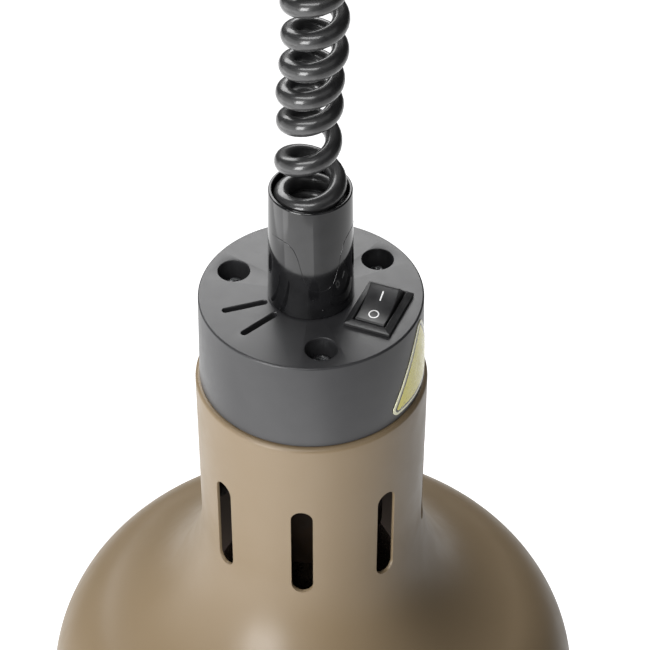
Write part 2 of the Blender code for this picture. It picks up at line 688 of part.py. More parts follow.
def bulb_parts(mats, head):
    """Reflector bulb: contact tip, insulator, screw cap, glass, stem, lead wires and filament."""
    axis = empty("bulb_axis", (0, 0, 0), head)
    button = [(0, 0), (2.8, 0.3), (4.6, 1.3), (4.6, 1.9), (0, 1.9)]
    add("bulb_tip", turned([(r, BULB_TIP - z) for r, z in button], 24), mats["brass"], axis)
    top = BULB_TIP - 1.9 - GAP
    bottom = top - 3.2
    bm = turned([(0, top), (5, top), (9.4, bottom), (0, bottom)], 24)
    add("bulb_insulator", bm, mats["black_gloss"], axis)

    cap_top = bottom - GAP
    cap_bottom = -84.0
    sheet = 0.6
    turns = 5
    profile = [(10, cap_top), (THREAD_R - THREAD_DEPTH, cap_top - 1.6)]
    crest = cap_top - 1.6 - THREAD_PITCH / 2
    for k in range(turns):
        profile.append((THREAD_R, crest - k * THREAD_PITCH))
        profile.append((THREAD_R - THREAD_DEPTH, crest - (k + 0.5) * THREAD_PITCH))
    bore = THREAD_R - THREAD_DEPTH - sheet
    profile += [(THREAD_R, cap_bottom), (bore, cap_bottom), (bore, cap_top - 1.8)]
    profile += [(9.5, cap_top - sheet), (6, cap_top - sheet), (6, cap_top)]
    add("bulb_cap", turned(profile, 24), mats["nickel"], axis)

    glass = 1.2
    outer = [
        (11.2, -70), (11.2, -84), (17.5, -95), (25.0, -113), (35.0, -135), (46.0, -158), (57.0, -185),
        (BULB_R, -207), (60.0, -219), (48.0, -227.5), (26.0, -232.5),
    ]
    inner = []
    for i, (r, z) in enumerate(outer):
        r0, z0 = outer[max(i - 1, 0)]
        r1, z1 = outer[min(i + 1, len(outer) - 1)]
        run = math.hypot(r1 - r0, z1 - z0)
        inner.append((r + glass * (z1 - z0) / run, z - glass * (r1 - r0) / run))
    inner = [p for p in inner if p[1] > BULB_FACE]
    profile = [*outer, (0, BULB_FACE), (0, BULB_FACE + glass), *reversed(inner)]
    add("bulb_glass", turned(profile, 32), mats["glass"], axis)

    stem_end = -96.0
    profile = [(0, -72), (4, -72), (4, -90), (2.5, stem_end), (0, stem_end)]
    add("bulb_stem", turned(profile, 16), mats["glass"], axis)
    filament_z = -150.0
    filament_r = 16.0
    gap_angle = 40.0
    for name, side in (("lead_wire_left", -1), ("lead_wire_right", 1)):
        foot = polar(filament_r, 90 - side * gap_angle / 2, filament_z)
        route = [(side * 1.2, 0.0, stem_end - GAP), (side * 2.2, 1.0, stem_end - 16)]
        route += [(foot.x * 0.75, foot.y * 0.7, filament_z + 16), (foot.x, foot.y, filament_z + 1.1)]
        add(name, swept(smooth_line(route, 3), 0.5, 6), mats["nickel"], axis)
    ends = [90 + gap_angle / 2 + (360 - gap_angle) * i / 20 for i in range(21)]
    add("filament", swept([polar(filament_r, a, filament_z) for a in ends], 0.8, 6), mats["tungsten"], axis)


def main():
    for o in list(bpy.data.objects):
        bpy.data.objects.remove(o, do_unlink=True)
    mats = {
        "zinc": material("zinc", (0.55, 0.56, 0.57), 0.35, 1.0),
        "brass": material("brass", (0.72, 0.53, 0.25), 0.35, 1.0),
        "nickel": material("nickel", (0.65, 0.63, 0.60), 0.3, 1.0),
        "tungsten": material("tungsten", (0.35, 0.34, 0.33), 0.5, 1.0),
        "black_satin": material("black_satin", (0.02, 0.02, 0.022), 0.45),
        "black_gloss": material("black_gloss", (0.012, 0.012, 0.013), 0.12),
        "black_paint": material("black_paint", (0.02, 0.018, 0.016), 0.6),
        "cap_grey": material("cap_grey", (0.10, 0.10, 0.103), 0.5),
        "rubber": material("rubber", (0.02, 0.02, 0.021), 0.35),
        "shade_bronze": material("shade_bronze", (0.36, 0.28, 0.19), 0.35),
        "label_yellow": material("label_yellow", (0.85, 0.72, 0.12), 0.4),
        "ivory": material("ivory", (0.75, 0.72, 0.64), 0.45),
        "porcelain": material("porcelain", (0.85, 0.84, 0.80), 0.2),
        "glass": material("glass", (0.9, 0.9, 0.88), 0.05),
        "wire_brown": material("wire_brown", (0.20, 0.08, 0.04), 0.4),
        "wire_blue": material("wire_blue", (0.05, 0.15, 0.45), 0.4),
        "wire_green": material("wire_green", (0.10, 0.35, 0.10), 0.4),
    }
    ceiling_parts(mats)
    hanger_parts(mats)
    cord_part(mats)
    head = empty("lamp_head", (0, 0, CAP_TOP))
    cable_cup_parts(mats, head)
    cap_parts(mats, head)
    switch_parts(mats, head)
    shade_part(mats, head)
    lampholder_parts(mats, head)
    wire_parts(mats, head)
    bulb_parts(mats, head)


main()
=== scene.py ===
"""Visual model of the pendant heat lamp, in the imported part's frame.

Meshes are drawn in millimetres and scaled to metres. Heights marked "above the cap" are measured from
the top of the cap, which is CAP_TOP below the ceiling face.
"""

import math

import bmesh
import bpy
from mathutils import Matrix, Vector


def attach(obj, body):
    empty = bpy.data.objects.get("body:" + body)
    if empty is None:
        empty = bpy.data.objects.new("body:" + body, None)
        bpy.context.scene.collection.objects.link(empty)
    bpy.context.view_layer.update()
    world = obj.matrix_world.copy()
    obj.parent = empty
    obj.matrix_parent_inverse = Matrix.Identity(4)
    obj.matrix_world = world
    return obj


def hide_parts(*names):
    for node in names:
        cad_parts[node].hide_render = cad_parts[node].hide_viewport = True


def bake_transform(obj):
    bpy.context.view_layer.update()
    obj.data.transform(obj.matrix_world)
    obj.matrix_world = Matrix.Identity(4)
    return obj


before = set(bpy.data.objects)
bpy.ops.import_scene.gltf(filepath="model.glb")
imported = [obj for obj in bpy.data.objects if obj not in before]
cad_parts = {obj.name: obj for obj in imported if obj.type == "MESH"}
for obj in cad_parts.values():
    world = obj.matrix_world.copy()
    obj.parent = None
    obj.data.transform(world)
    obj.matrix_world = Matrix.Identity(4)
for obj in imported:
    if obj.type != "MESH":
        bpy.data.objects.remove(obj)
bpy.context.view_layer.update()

MM = 0.001
GAP = 0.3
CAP_TOP = -220.0

# Camera
CAMERA_DISTANCE = 0.7
CAMERA_ELEVATION = 41.77
CAMERA_TARGET = Vector((0.00432, 0.0, -0.23363))
CAMERA_LENS = 123.9

# Cap
CAP_R_TOP = 35.0
CAP_R_FOOT = 35.6
CAP_HEIGHT = 32.0
CAP_WALL = 2.6
CAP_LID = 3.0
CAP_BOSS_R = 7.0
SCREW_CIRCLE_R = 26.2
SCREW_ANGLES = (37.1, 157.1, 277.1)
SCREW_R = 1.9
SCREW_HEAD_R = 3.6
SCREW_HEAD_HEIGHT = 3.2
SCREW_WELL_R = 5.0
SCREW_WELL_DEPTH = 8.0
VENT_ANGLES = (-162.0, -137.0)
VENT_R_IN = 14.2
VENT_R_OUT = 28.5
VENT_WIDTH = 2.0

# Switch
SWITCH_R = 22.6
SWITCH_ANGLE = -22.5
SWITCH_LENGTH = 21.0
SWITCH_WIDTH = 15.0
SWITCH_BEZEL = 1.8
SWITCH_DEPTH = 12.0
ROCKER_R = 8.6
ROCKER_WIDTH = 9.6
ROCKER_TILT = 18.0
ROCKER_PIVOT = -0.7
ROCKER_DISH = 1.5
ROCKER_FACE_START = -12.0
ROCKER_FACE_END = 38.0
MARK_OFFSET = 3.4

# Shade, heights above the cap
NECK_R = 37.0
FLANGE_TOP = -CAP_HEIGHT - GAP
FLANGE_R_IN = 20.0
NECK_BEND_R = 1.5
FLARE_TOP = -91.0
FLARE_R = 60.0
SHOULDER_R = 36.0
SHADE_R = 93.0
SHADE_BOTTOM = -250.0
RIM_BEAD_R = 2.0
SLOT_COUNT = 8
SLOT_FIRST_ANGLE = -94.7
SLOT_WIDTH = 7.0
SLOT_TOP = -60.2
SLOT_BOTTOM = -96.8

# Cable cups and cord
CUP_R_BASE = 13.4
CUP_R_MOUTH = 12.6
CUP_BORE_R = 11.6
CUP_HEIGHT = 41.0
CUP_STEM_R = 5.0
CUP_STEM_LENGTH = 14.0
CORD_R = 2.85
STRAND_RADIAL = 2.55
STRAND_AXIAL = 3.05
CORD_HOLE_X = 7.0
COIL_END = 13.1
POINTS_PER_TURN = 30
UPPER_CUP_TOP = -44.0
UPPER_CUP_MOUTH = -74.0

# Ceiling rose and hanger
ROSE_R = 50.0
ROSE_DEPTH = 38.0
ROSE_WALL = 2.0
ROSE_HOLE_R = 15.0
ROSE_SCREW_Z = -11.0
RING_R = 6.0
WIRE_R = 1.75
HOOK_Z = -11.0
BRACKET_SHEET = 2.0

# Lampholder and bulb, heights above the cap
HOLDER_R = 23.6
HOLDER_SHEET = 1.0
HOLDER_BOTTOM = -98.0
HOLDER_SCREW_CIRCLE_R = 15.0
BULB_WALL = 1.1
BULB_FACE_TOP = -212.0
BULB_BOTTOM = -233.5

# Studio
FLOOR_Z = -2200.0
FLOOR_HALF_SIZE = 5000.0
ROOM_FILL = 0.04
LIGHTS_AIM = (0, 0, -0.25)


def polar(radius, degrees, z=0.0):
    a = math.radians(degrees)
    return Vector((radius * math.cos(a), radius * math.sin(a), z))


def camera():
    elevation = math.radians(CAMERA_ELEVATION)
    back = Vector((0, -math.cos(elevation), math.sin(elevation)))
    data = bpy.data.cameras.new("camera")
    data.lens = CAMERA_LENS
    data.sensor_width = 36.0
    data.clip_start = 0.05
    data.clip_end = 20.0
    o = bpy.data.objects.new("camera", data)
    o.location = CAMERA_TARGET + back * CAMERA_DISTANCE
    o.rotation_mode = "QUATERNION"
    o.rotation_quaternion = (-back).to_track_quat("-Z", "Y")
    bpy.context.scene.collection.objects.link(o)
    bpy.context.scene.camera = o


# Materials


class Surface:
    """A Principled material whose detail is noise in object space, in metres."""

    def __init__(self, name, **constants):
        self.material = bpy.data.materials.new(name)
        self.material.use_nodes = True
        self.tree = self.material.node_tree
        self.shader = self.tree.nodes["Principled BSDF"]
        for socket, value in constants.items():
            self.shader.inputs[socket.replace("_", " ")].default_value = value
        self.place = self.tree.nodes.new("ShaderNodeTexCoord").outputs["Object"]
        self.normal = None

    def node(self, kind, **settings):
        n = self.tree.nodes.new(kind)
        for key, value in settings.items():
            setattr(n, key, value)
        return n

    def link(self, a, b):
        self.tree.links.new(a, b)

    def noise(self, size_mm, detail=3.0, roughness=0.55, stretch=(1, 1, 1), vector=None):
        mapping = self.node("ShaderNodeMapping")
        mapping.inputs["Scale"].default_value = stretch
        self.link(vector or self.place, mapping.inputs["Vector"])
        n = self.node("ShaderNodeTexNoise")
        n.inputs["Scale"].default_value = 1 / (size_mm * MM)
        n.inputs["Detail"].default_value = detail
        n.inputs["Roughness"].default_value = roughness
        self.link(mapping.outputs["Vector"], n.inputs["Vector"])
        return n.outputs["Fac"]

    def spread(self, value, low, high, to_low, to_high):
        n = self.node("ShaderNodeMapRange", interpolation_type="SMOOTHSTEP")
        for socket, number in zip(("From Min", "From Max", "To Min", "To Max"), (low, high, to_low, to_high)):
            n.inputs[socket].default_value = number
        self.link(value, n.inputs["Value"])
        return n.outputs["Result"]

    def colours(self, factor, first, second):
        n = self.node("ShaderNodeMix", data_type="RGBA")
        n.inputs["A"].default_value = (*first, 1)
        n.inputs["B"].default_value = (*second, 1)
        self.link(factor, n.inputs["Factor"])
        self.link(n.outputs["Result"], self.shader.inputs["Base Color"])
        return n

    def roughness(self, factor, low, high):
        self.link(self.spread(factor, 0.3, 0.7, low, high), self.shader.inputs["Roughness"])

    def bump(self, height, depth_mm, strength=1.0):
        n = self.node("ShaderNodeBump")
        n.inputs["Strength"].default_value = strength
        n.inputs["Distance"].default_value = depth_mm * MM
        self.link(height, n.inputs["Height"])
        if self.normal:
            self.link(self.normal, n.inputs["Normal"])
        self.normal = n.outputs["Normal"]
        self.link(self.normal, self.shader.inputs["Normal"])


def shade_paint():
    """Satin taupe paint on spun aluminium: orange peel, fine pigment grain and faint spinning rings."""
    s = Surface("shade_paint", Metallic=0.0, Specular_IOR_Level=0.5)
    base = Vector((0.213, 0.156, 0.092))
    grain = s.colours(s.noise(0.22, 2.0), tuple(base * 0.94), tuple(base * 1.06))
    # Faces that look towards the axis are the shade's inside. Their dark colour is painted shade and their
    # matt finish a guess, both chosen so that the slots look dark.
    flat = s.node("ShaderNodeVectorMath", operation="MULTIPLY")
    flat.inputs[1].default_value = (1, 1, 0)
    s.link(s.place, flat.inputs[0])
    facing = s.node("ShaderNodeVectorMath", operation="DOT_PRODUCT")
    s.link(flat.outputs["Vector"], facing.inputs[0])
    s.link(s.place.node.outputs["Normal"], facing.inputs[1])
    inside = s.spread(facing.outputs["Value"], -0.006, -0.002, 1, 0)
    # Painted shade: the inside faces are mixed towards a dark brown.
    painted_shade_inside = s.node("ShaderNodeMix", data_type="RGBA")
    painted_shade_inside.inputs["B"].default_value = (0.034, 0.018, 0.008, 1)
    s.link(inside, painted_shade_inside.inputs["Factor"])
    s.link(grain.outputs["Result"], painted_shade_inside.inputs["A"])
    s.link(painted_shade_inside.outputs["Result"], s.shader.inputs["Base Color"])
    gloss = s.node("ShaderNodeMix")
    s.link(inside, gloss.inputs["Factor"])
    s.link(s.spread(s.noise(9.0, 3.0), 0.3, 0.7, 0.37, 0.43), gloss.inputs["A"])
    gloss.inputs["B"].default_value = 0.9
    s.link(gloss.outputs["Result"], s.shader.inputs["Roughness"])
    s.bump(s.noise(1.1, 1.0), 0.012, 0.35)
    s.bump(s.noise(2.4, 1.0, stretch=(0.05, 0.05, 1)), 0.008, 0.25)
    return s.material


def moulded(name, dark, light, low, high, grain_mm, depth_mm, specular=0.5):
    """Moulded plastic: fine spark-eroded grain, faint flow mottling and handled, uneven gloss."""
    s = Surface(name, Metallic=0.0, Specular_IOR_Level=specular)
    s.colours(s.spread(s.noise(6.0, 4.0), 0.35, 0.65, 0, 1), dark, light)
    s.roughness(s.noise(3.0, 4.0), low, high)
    s.bump(s.noise(grain_mm, 2.0), depth_mm, 0.6)
    return s.material


def polished_black():
    s = Surface("polished_black", Metallic=0.0, Specular_IOR_Level=0.6)
    s.colours(s.spread(s.noise(8.0, 3.0), 0.35, 0.65, 0, 1), (0.006, 0.006, 0.0065), (0.011, 0.011, 0.012))
    s.roughness(s.noise(5.0, 5.0), 0.07, 0.12)
    s.bump(s.noise(7.0, 1.0), 0.01, 0.12)
    return s.material


def cord_sheath():
    """Extruded sheath: fine lines along the cord, from the tube's own UV map, and a dull mottle."""
    s = Surface("cord_sheath", Metallic=0.0, Specular_IOR_Level=0.5, Coat_Weight=0.8, Coat_Roughness=0.17)
    along = s.node("ShaderNodeUVMap", uv_map="along").outputs["UV"]
    s.colours(s.spread(s.noise(2.5, 4.0), 0.35, 0.65, 0, 1), (0.009, 0.009, 0.0095), (0.015, 0.015, 0.0155))
    s.roughness(s.noise(1.6, 4.0), 0.42, 0.52)
    s.bump(s.noise(0.5, 2.0, stretch=(0.03, 1, 1), vector=along), 0.008, 0.3)
    s.bump(s.noise(1.4, 2.0), 0.012, 0.25)
    return s.material


def plated(name, colour, low, high, stretch=(1, 1, 1)):
    """Plated or bare metal: directional micro scratches and cloudy gloss."""
    s = Surface(name, Metallic=1.0)
    dark = tuple(c * 0.86 for c in colour)
    s.colours(s.spread(s.noise(1.8, 4.0), 0.35, 0.65, 0, 1), dark, colour)
    s.roughness(s.noise(0.7, 4.0, stretch=stretch), low, high)
    s.bump(s.noise(0.25, 3.0, stretch=stretch), 0.006, 0.5)
    return s.material


def printed(name, dark, light):
    """Printed film: slight ink mottle under a smooth laminate."""
    s = Surface(name, Metallic=0.0, Specular_IOR_Level=0.5, Coat_Weight=0.4, Coat_Roughness=0.12)
    s.colours(s.spread(s.noise(0.7, 4.0), 0.3, 0.7, 0, 1), dark, light)
    s.roughness(s.noise(2.0, 2.0), 0.25, 0.38)
    s.bump(s.noise(1.2, 1.0), 0.006, 0.2)
    return s.material


def clear_glass(tint):
    s = Surface("bulb_glass", Metallic=0.0, Transmission_Weight=0.9, IOR=1.47)
    s.colours(s.spread(s.noise(12.0, 2.0), 0.3, 0.7, 0, 1), tint, tuple(min(1.0, c * 1.05) for c in tint))
    s.roughness(s.noise(6.0, 3.0), 0.02, 0.07)
    s.bump(s.noise(9.0, 1.0), 0.03, 0.2)
    return s.material


def frosted_face():
    """Front of the bulb: clear glass with a light stipple pressed inside it."""
    s = Surface("frosted_face", Metallic=0.0, Transmission_Weight=0.75, IOR=1.47)
    s.colours(s.noise(5.0, 3.0), (0.86, 0.86, 0.84), (0.93, 0.93, 0.92))
    s.roughness(s.noise(2.0, 3.0), 0.18, 0.32)
    s.bump(s.noise(1.6, 1.0), 0.12, 0.5)
    return s.material


def porcelain():
    s = Surface("porcelain", Metallic=0.0, Specular_IOR_Level=0.6)
    s.colours(s.noise(4.0, 3.0), (0.78, 0.76, 0.71), (0.86, 0.85, 0.81))
    s.roughness(s.noise(3.0, 2.0), 0.12, 0.25)
    s.bump(s.noise(2.2, 2.0), 0.03, 0.3)
    return s.material


def make_materials():
    return {
        "shade": shade_paint(),
        "cap": moulded(
            "cap_plastic", (0.030, 0.030, 0.032), (0.033, 0.033, 0.035), 0.33, 0.37, 0.22, 0.010
        ),
        "gloss": polished_black(),
        "satin": moulded(
            "switch_plastic", (0.016, 0.016, 0.017), (0.026, 0.026, 0.027), 0.34, 0.46, 0.28, 0.03
        ),
        "rose": moulded(
            "rose_plastic", (0.015, 0.015, 0.016), (0.019, 0.019, 0.020), 0.27, 0.31, 0.35, 0.004
        ),
        "cord": cord_sheath(),
        "zinc": plated("zinc_plate", (0.56, 0.57, 0.58), 0.22, 0.42),
        "wire": plated("drawn_wire", (0.52, 0.53, 0.55), 0.18, 0.34, (1, 1, 0.2)),
        "brass": plated("brass", (0.72, 0.53, 0.25), 0.22, 0.4),
        "nickel": plated("nickel", (0.66, 0.63, 0.58), 0.16, 0.3),
        # Dark brown tone on the bulb's silvering: painted shade, so that it looks dark through the slots.
        "bulb_wall_painted_shade": plated("bulb_silvering_painted_shade", (0.15, 0.11, 0.08), 0.25, 0.4),
        "tungsten": plated("tungsten", (0.30, 0.29, 0.28), 0.35, 0.55),
        "black_paint": moulded(
            "black_paint", (0.016, 0.015, 0.014), (0.028, 0.026, 0.024), 0.5, 0.7, 0.4, 0.03
        ),
        "ivory": moulded("ivory_plastic", (0.66, 0.63, 0.55), (0.76, 0.73, 0.65), 0.38, 0.5, 0.3, 0.02),
        "holder": moulded(
            "holder_paint", (0.022, 0.012, 0.006), (0.032, 0.018, 0.009), 0.6, 0.75, 0.4, 0.03, 0.15
        ),
        "porcelain": porcelain(),
        "glass": clear_glass((0.90, 0.91, 0.90)),
        "face": frosted_face(),
        "mark": printed("switch_mark", (0.78, 0.78, 0.78), (0.9, 0.9, 0.9)),
        "label_edge": printed("label_edge", (0.80, 0.78, 0.52), (0.86, 0.84, 0.60)),
        "label_line": printed("label_line", (0.025, 0.022, 0.008), (0.045, 0.04, 0.015)),
        "label_field": printed("label_field", (0.72, 0.63, 0.05), (0.80, 0.72, 0.08)),
        "wire_brown": moulded("wire_brown", (0.17, 0.065, 0.03), (0.22, 0.09, 0.045), 0.32, 0.45, 0.4, 0.01),
        "wire_blue": moulded("wire_blue", (0.04, 0.13, 0.42), (0.06, 0.17, 0.48), 0.32, 0.45, 0.4, 0.01),
        "wire_green": moulded("wire_green", (0.08, 0.32, 0.08), (0.12, 0.38, 0.12), 0.32, 0.45, 0.4, 0.01),
    }


# Mesh tools


def finished_mesh(name, bm, sharp_degrees):
    bmesh.ops.scale(bm, vec=(MM, MM, MM), verts=bm.verts)
    bmesh.ops.recalc_face_normals(bm, faces=bm.faces)
    mesh = bpy.data.meshes.new(name)
    bm.to_mesh(mesh)
    bm.free()
    mesh.shade_smooth()
    mesh.set_sharp_from_angle(angle=math.radians(sharp_degrees))
    return mesh


def piece(name, bm, mat, body, stands_for=(), sharp_degrees=35):
    """Object from a bmesh in millimetres, riding on a body."""
    o = bpy.data.objects.new(name, finished_mesh(name, bm, sharp_degrees))
    o.data.materials.append(mat)
    bpy.context.scene.collection.objects.link(o)
    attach(o, body)
    if stands_for:
        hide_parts(*stands_for)
    return o


def applied(o, sharp_degrees):
    """Applies the object's modifiers to its mesh."""
    bpy.context.view_layer.update()
    depsgraph = bpy.context.evaluated_depsgraph_get()
    mesh = bpy.data.meshes.new_from_object(o.evaluated_get(depsgraph))
    old = o.data
    o.modifiers.clear()
    o.data = mesh
    bpy.data.meshes.remove(old)
    mesh.shade_smooth()
    mesh.set_sharp_from_angle(angle=math.radians(sharp_degrees))


def carve(o, shapes, operation="DIFFERENCE", sharp_degrees=35):
    """Cuts each bmesh of shapes from o, or joins it on."""
    cutter = bpy.data.objects.new("cutter", finished_mesh("cutter", merged(shapes), sharp_degrees))
    bpy.context.scene.collection.objects.link(cutter)
    m = o.modifiers.new("carve", "BOOLEAN")
    m.object = cutter
    m.operation = operation
    m.solver = "EXACT"
    applied(o, sharp_degrees)
    mesh = cutter.data
    bpy.data.objects.remove(cutter)
    bpy.data.meshes.remove(mesh)


def soften(o, width_mm, segments, angle):
    """Rounds the object's sharp edges."""
    m = o.modifiers.new("soften", "BEVEL")
    m.width = width_mm * MM
    m.segments = segments
    m.limit_method = "ANGLE"
    m.angle_limit = math.radians(angle)
    applied(o, 35)


def merged(shapes):
    joined = bmesh.new()
    for bm in shapes:
        mesh = bpy.data.meshes.new("shape")
        bm.to_mesh(mesh)
        bm.free()
        joined.from_mesh(mesh)
        bpy.data.meshes.remove(mesh)
    return joined


def moved(bm, matrix):
    bmesh.ops.transform(bm, matrix=matrix, verts=bm.verts)
    return bm


def at(x, y, z=0.0, degrees=0.0):
    return Matrix.Translation((x, y, z)) @ Matrix.Rotation(math.radians(degrees), 4, "Z")


def on_circle(radius, degrees, z=0.0):
    p = polar(radius, degrees, z)
    return at(p.x, p.y, p.z, degrees)


def arc(centre_r, centre_z, radius, start, end, steps):
    points = []
    for i in range(steps + 1):
        a = math.radians(start + (end - start) * i / steps)
        points.append((centre_r + radius * math.cos(a), centre_z + radius * math.sin(a)))
    return points


def filleted(corners, steps=5):
    """Profile points from corners (r, z) or (r, z, fillet radius)."""
    points = []
    for i, corner in enumerate(corners):
        here = Vector(corner[:2])
        radius = corner[2] if len(corner) > 2 else 0
        if not radius or i in (0, len(corners) - 1):
            points.append(tuple(here))
            continue
        to_last = Vector(corners[i - 1][:2]) - here
        to_next = Vector(corners[i + 1][:2]) - here
        half = to_last.angle(to_next) / 2
        reach = min(radius / math.tan(half), to_last.length * 0.49, to_next.length * 0.49)
        a = here + to_last.normalized() * reach
        b = here + to_next.normalized() * reach
        middle = here + (to_last.normalized() + to_next.normalized()).normalized() * reach / math.cos(half)
        start = a - middle
        sweep = start.angle_signed(b - middle)
        for s in range(steps + 1):
            turn = -sweep * s / steps
            c, d = math.cos(turn), math.sin(turn)
            points.append(
                (middle.x + start.x * c - start.y * d, middle.y + start.x * d + start.y * c)
            )
    return points


def turned(profile, sides):
    """Closed outline of (radius, height) pairs turned about Z."""
    bm = bmesh.new()
    rings = []
    for r, z in profile:
        if r < 1e-6:
            rings.append([bm.verts.new((0, 0, z))])
        else:
            rings.append([bm.verts.new(polar(r, 360 * k / sides, z)) for k in range(sides)])
    for i in range(len(rings)):
        a, b = rings[i], rings[(i + 1) % len(rings)]
        if len(a) == 1 and len(b) == 1:
            continue
        for k in range(sides):
            j = (k + 1) % sides
            corners = [a[k % len(a)], a[j % len(a)], b[j % len(b)], b[k % len(b)]]
            bm.faces.new(list(dict.fromkeys(corners)))
    return bm


def rod(radius, low, high, sides):
    """Plain cylinder, for a boss or a cutter."""
    return turned([(0, low), (radius, low), (radius, high), (0, high)], sides)


def lofted(sections):
    """Solid through outlines with the same number of (x, y) points, each at its height, with flat ends."""
    bm = bmesh.new()
    rings = []
    for outline, z in sections:
        rings.append([bm.verts.new((x, y, z)) for x, y in outline])
    for a, b in zip(rings, rings[1:]):
        for k in range(len(a)):
            j = (k + 1) % len(a)
            bm.faces.new([a[k], a[j], b[j], b[k]])
    bm.faces.new(rings[0])
    bm.faces.new(list(reversed(rings[-1])))
    return bm


def rounded_box(width, length, corner, steps=6):
    """Outline of a rectangle with round corners, width along X."""
    points = []
    for quarter in range(4):
        sx = 1 if quarter in (0, 3) else -1
        sy = 1 if quarter < 2 else -1
        for i in range(steps + 1):
            a = math.radians(90 * quarter + 90 * i / steps)
            x = sx * (width / 2 - corner) + corner * math.cos(a)
            points.append((x, sy * (length / 2 - corner) + corner * math.sin(a)))
    return points


def stadium(length, width, steps=10):
    half = (length - width) / 2
    points = []
    for end, start in ((half, -90), (-half, 90)):
        for i in range(steps + 1):
            a = math.radians(start + 180 * i / steps)
            points.append((end + width / 2 * math.cos(a), width / 2 * math.sin(a)))
    return points


def swept(points, radius, sides=24, closed=False, dome=0, wound=None):
    """Rod along points, with a UV map in metres. dome gives its two ends that many rounding rings. wound
    is how far it is pressed oval at each point, 0 to 1, with its narrow side facing the axis of the coil.
    """
    points = [Vector(p) for p in points]
    count = len(points)
    bm = bmesh.new()
    uv = bm.loops.layers.uv.new("along")
    rings, lengths = [], []
    side = None
    travelled = 0.0
    for i, p in enumerate(points):
        if closed:
            before, after = points[i - 1], points[(i + 1) % count]
        else:
            before, after = points[max(i - 1, 0)], points[min(i + 1, count - 1)]
        along = (after - before).normalized()
        if side is None:
            side = along.orthogonal()
        if wound and wound[i] > 0:
            outward = Vector((p.x, p.y, 0)).normalized()
            turn_to = (outward - along * outward.dot(along)).normalized()
            if side.dot(turn_to) < 0:
                turn_to = -turn_to
            side = side.lerp(turn_to, min(1.0, wound[i] * 1.5)).normalized()
        side = (side - along * side.dot(along)).normalized()
        other = along.cross(side)
        narrow = wide = radius
        if wound:
            narrow += (STRAND_RADIAL - radius) * wound[i]
            wide += (STRAND_AXIAL - radius) * wound[i]
        travelled += (p - points[i - 1]).length if i else 0.0
        layers = [(0.0, 1.0)]
        if dome and i in (0, count - 1):
            turns = [math.radians(90 * (s + 1) / (dome + 1)) for s in range(dome)]
            outward = -1 if i == 0 else 1
            caps = [(outward * radius * math.sin(t), math.cos(t)) for t in turns]
            layers = [*reversed(caps), (0.0, 1.0)] if i == 0 else [(0.0, 1.0), *caps]
        for offset, share in layers:
            ring = []
            for k in range(sides):
                a = math.tau * k / sides
                out = side * math.cos(a) * narrow + other * math.sin(a) * wide
                ring.append(bm.verts.new(p + along * offset + out * share))
            rings.append(ring)
            lengths.append((travelled + offset) * MM)
    pairs = list(zip(range(len(rings)), range(1, len(rings))))
    if closed:
        pairs.append((len(rings) - 1, 0))
    for i, n in pairs:
        for k in range(sides):
            j = (k + 1) % sides
            face = bm.faces.new([rings[i][k], rings[i][j], rings[n][j], rings[n][k]])
            around = math.tau * radius * MM / sides
            for loop, (u, v) in zip(face.loops, ((i, k), (i, k + 1), (n, k + 1), (n, k))):
                loop[uv].uv = (lengths[u], around * v)
    if not closed:
        bm.faces.new(rings[0])
        bm.faces.new(list(reversed(rings[-1])))
    return bm


def smooth_line(route, steps_between):
    """Catmull-Rom line through a few points."""
    p = [Vector(r) for r in route]
    p = [2 * p[0] - p[1], *p, 2 * p[-1] - p[-2]]
    line = []
    for i in range(1, len(p) - 2):
        for s in range(steps_between):
            t = s / steps_between
            line.append(
                0.5
                * (
                    2 * p[i]
                    + (p[i + 1] - p[i - 1]) * t
                    + (2 * p[i - 1] - 5 * p[i] + 4 * p[i + 1] - p[i + 2]) * t**2
                    + (3 * p[i] - p[i - 1] - 3 * p[i + 1] + p[i + 2]) * t**3
                )
            )
    line.append(p[-2])
    return line


def between(p0, m0, p1, m1, steps):
    """Points inside a Hermite curve from p0 to p1, without its two ends."""
    points = []
    for i in range(1, steps):
        t = i / steps
        t2, t3 = t * t, t * t * t
        points.append(
            p0 * (2 * t3 - 3 * t2 + 1) + m0 * (t3 - 2 * t2 + t) + p1 * (3 * t2 - 2 * t3) + m1 * (t3 - t2)
        )
    return points


# The spiral cord

# Each turn where it passes the front: height above the cap, sideways lean, mean radius
COIL_TURNS = (
    (27.8, 0.0, 8.5),
    (34.1, 0.0, 8.75),
    (40.4, 0.0, 8.7),
    (54.9, -0.5, 7.45),
    (69.1, 0.0, 7.3),
    (78.1, 0.0, 7.35),
    (88.0, 1.2, 7.35),
    (98.5, 1.6, 7.3),
    (109.5, 1.4, 7.3),
    (119.3, 1.1, 7.3),
    (129.4, 0.8, 7.3),
    (139.4, 0.4, 7.4),
    (147.6, 0.1, 7.6),
    (154.5, 0.0, 7.8),
)


def coil_point(turn):
    """Centreline of the coil, turn by turn from the front of the lowest one."""
    last = len(COIL_TURNS) - 1
    i = max(0, min(last - 1, math.floor(turn)))
    t = turn - i

    def value(k, column):
        if k < 0:
            return 2 * COIL_TURNS[0][column] - COIL_TURNS[1][column]
        if k > last:
            return 2 * COIL_TURNS[last][column] - COIL_TURNS[last - 1][column]
        return COIL_TURNS[k][column]

    found = []
    for column in range(3):
        a, b, c, d = (value(i + k, column) for k in (-1, 0, 1, 2))
        curve = 2 * b + (c - a) * t + (2 * a - 5 * b + 4 * c - d) * t**2
        found.append((curve + (3 * b - a - 3 * c + d) * t**3) / 2)
    height, lean, radius = found
    return polar(radius, -90 + 360 * turn, CAP_TOP + height) + Vector((lean, 0, 0))


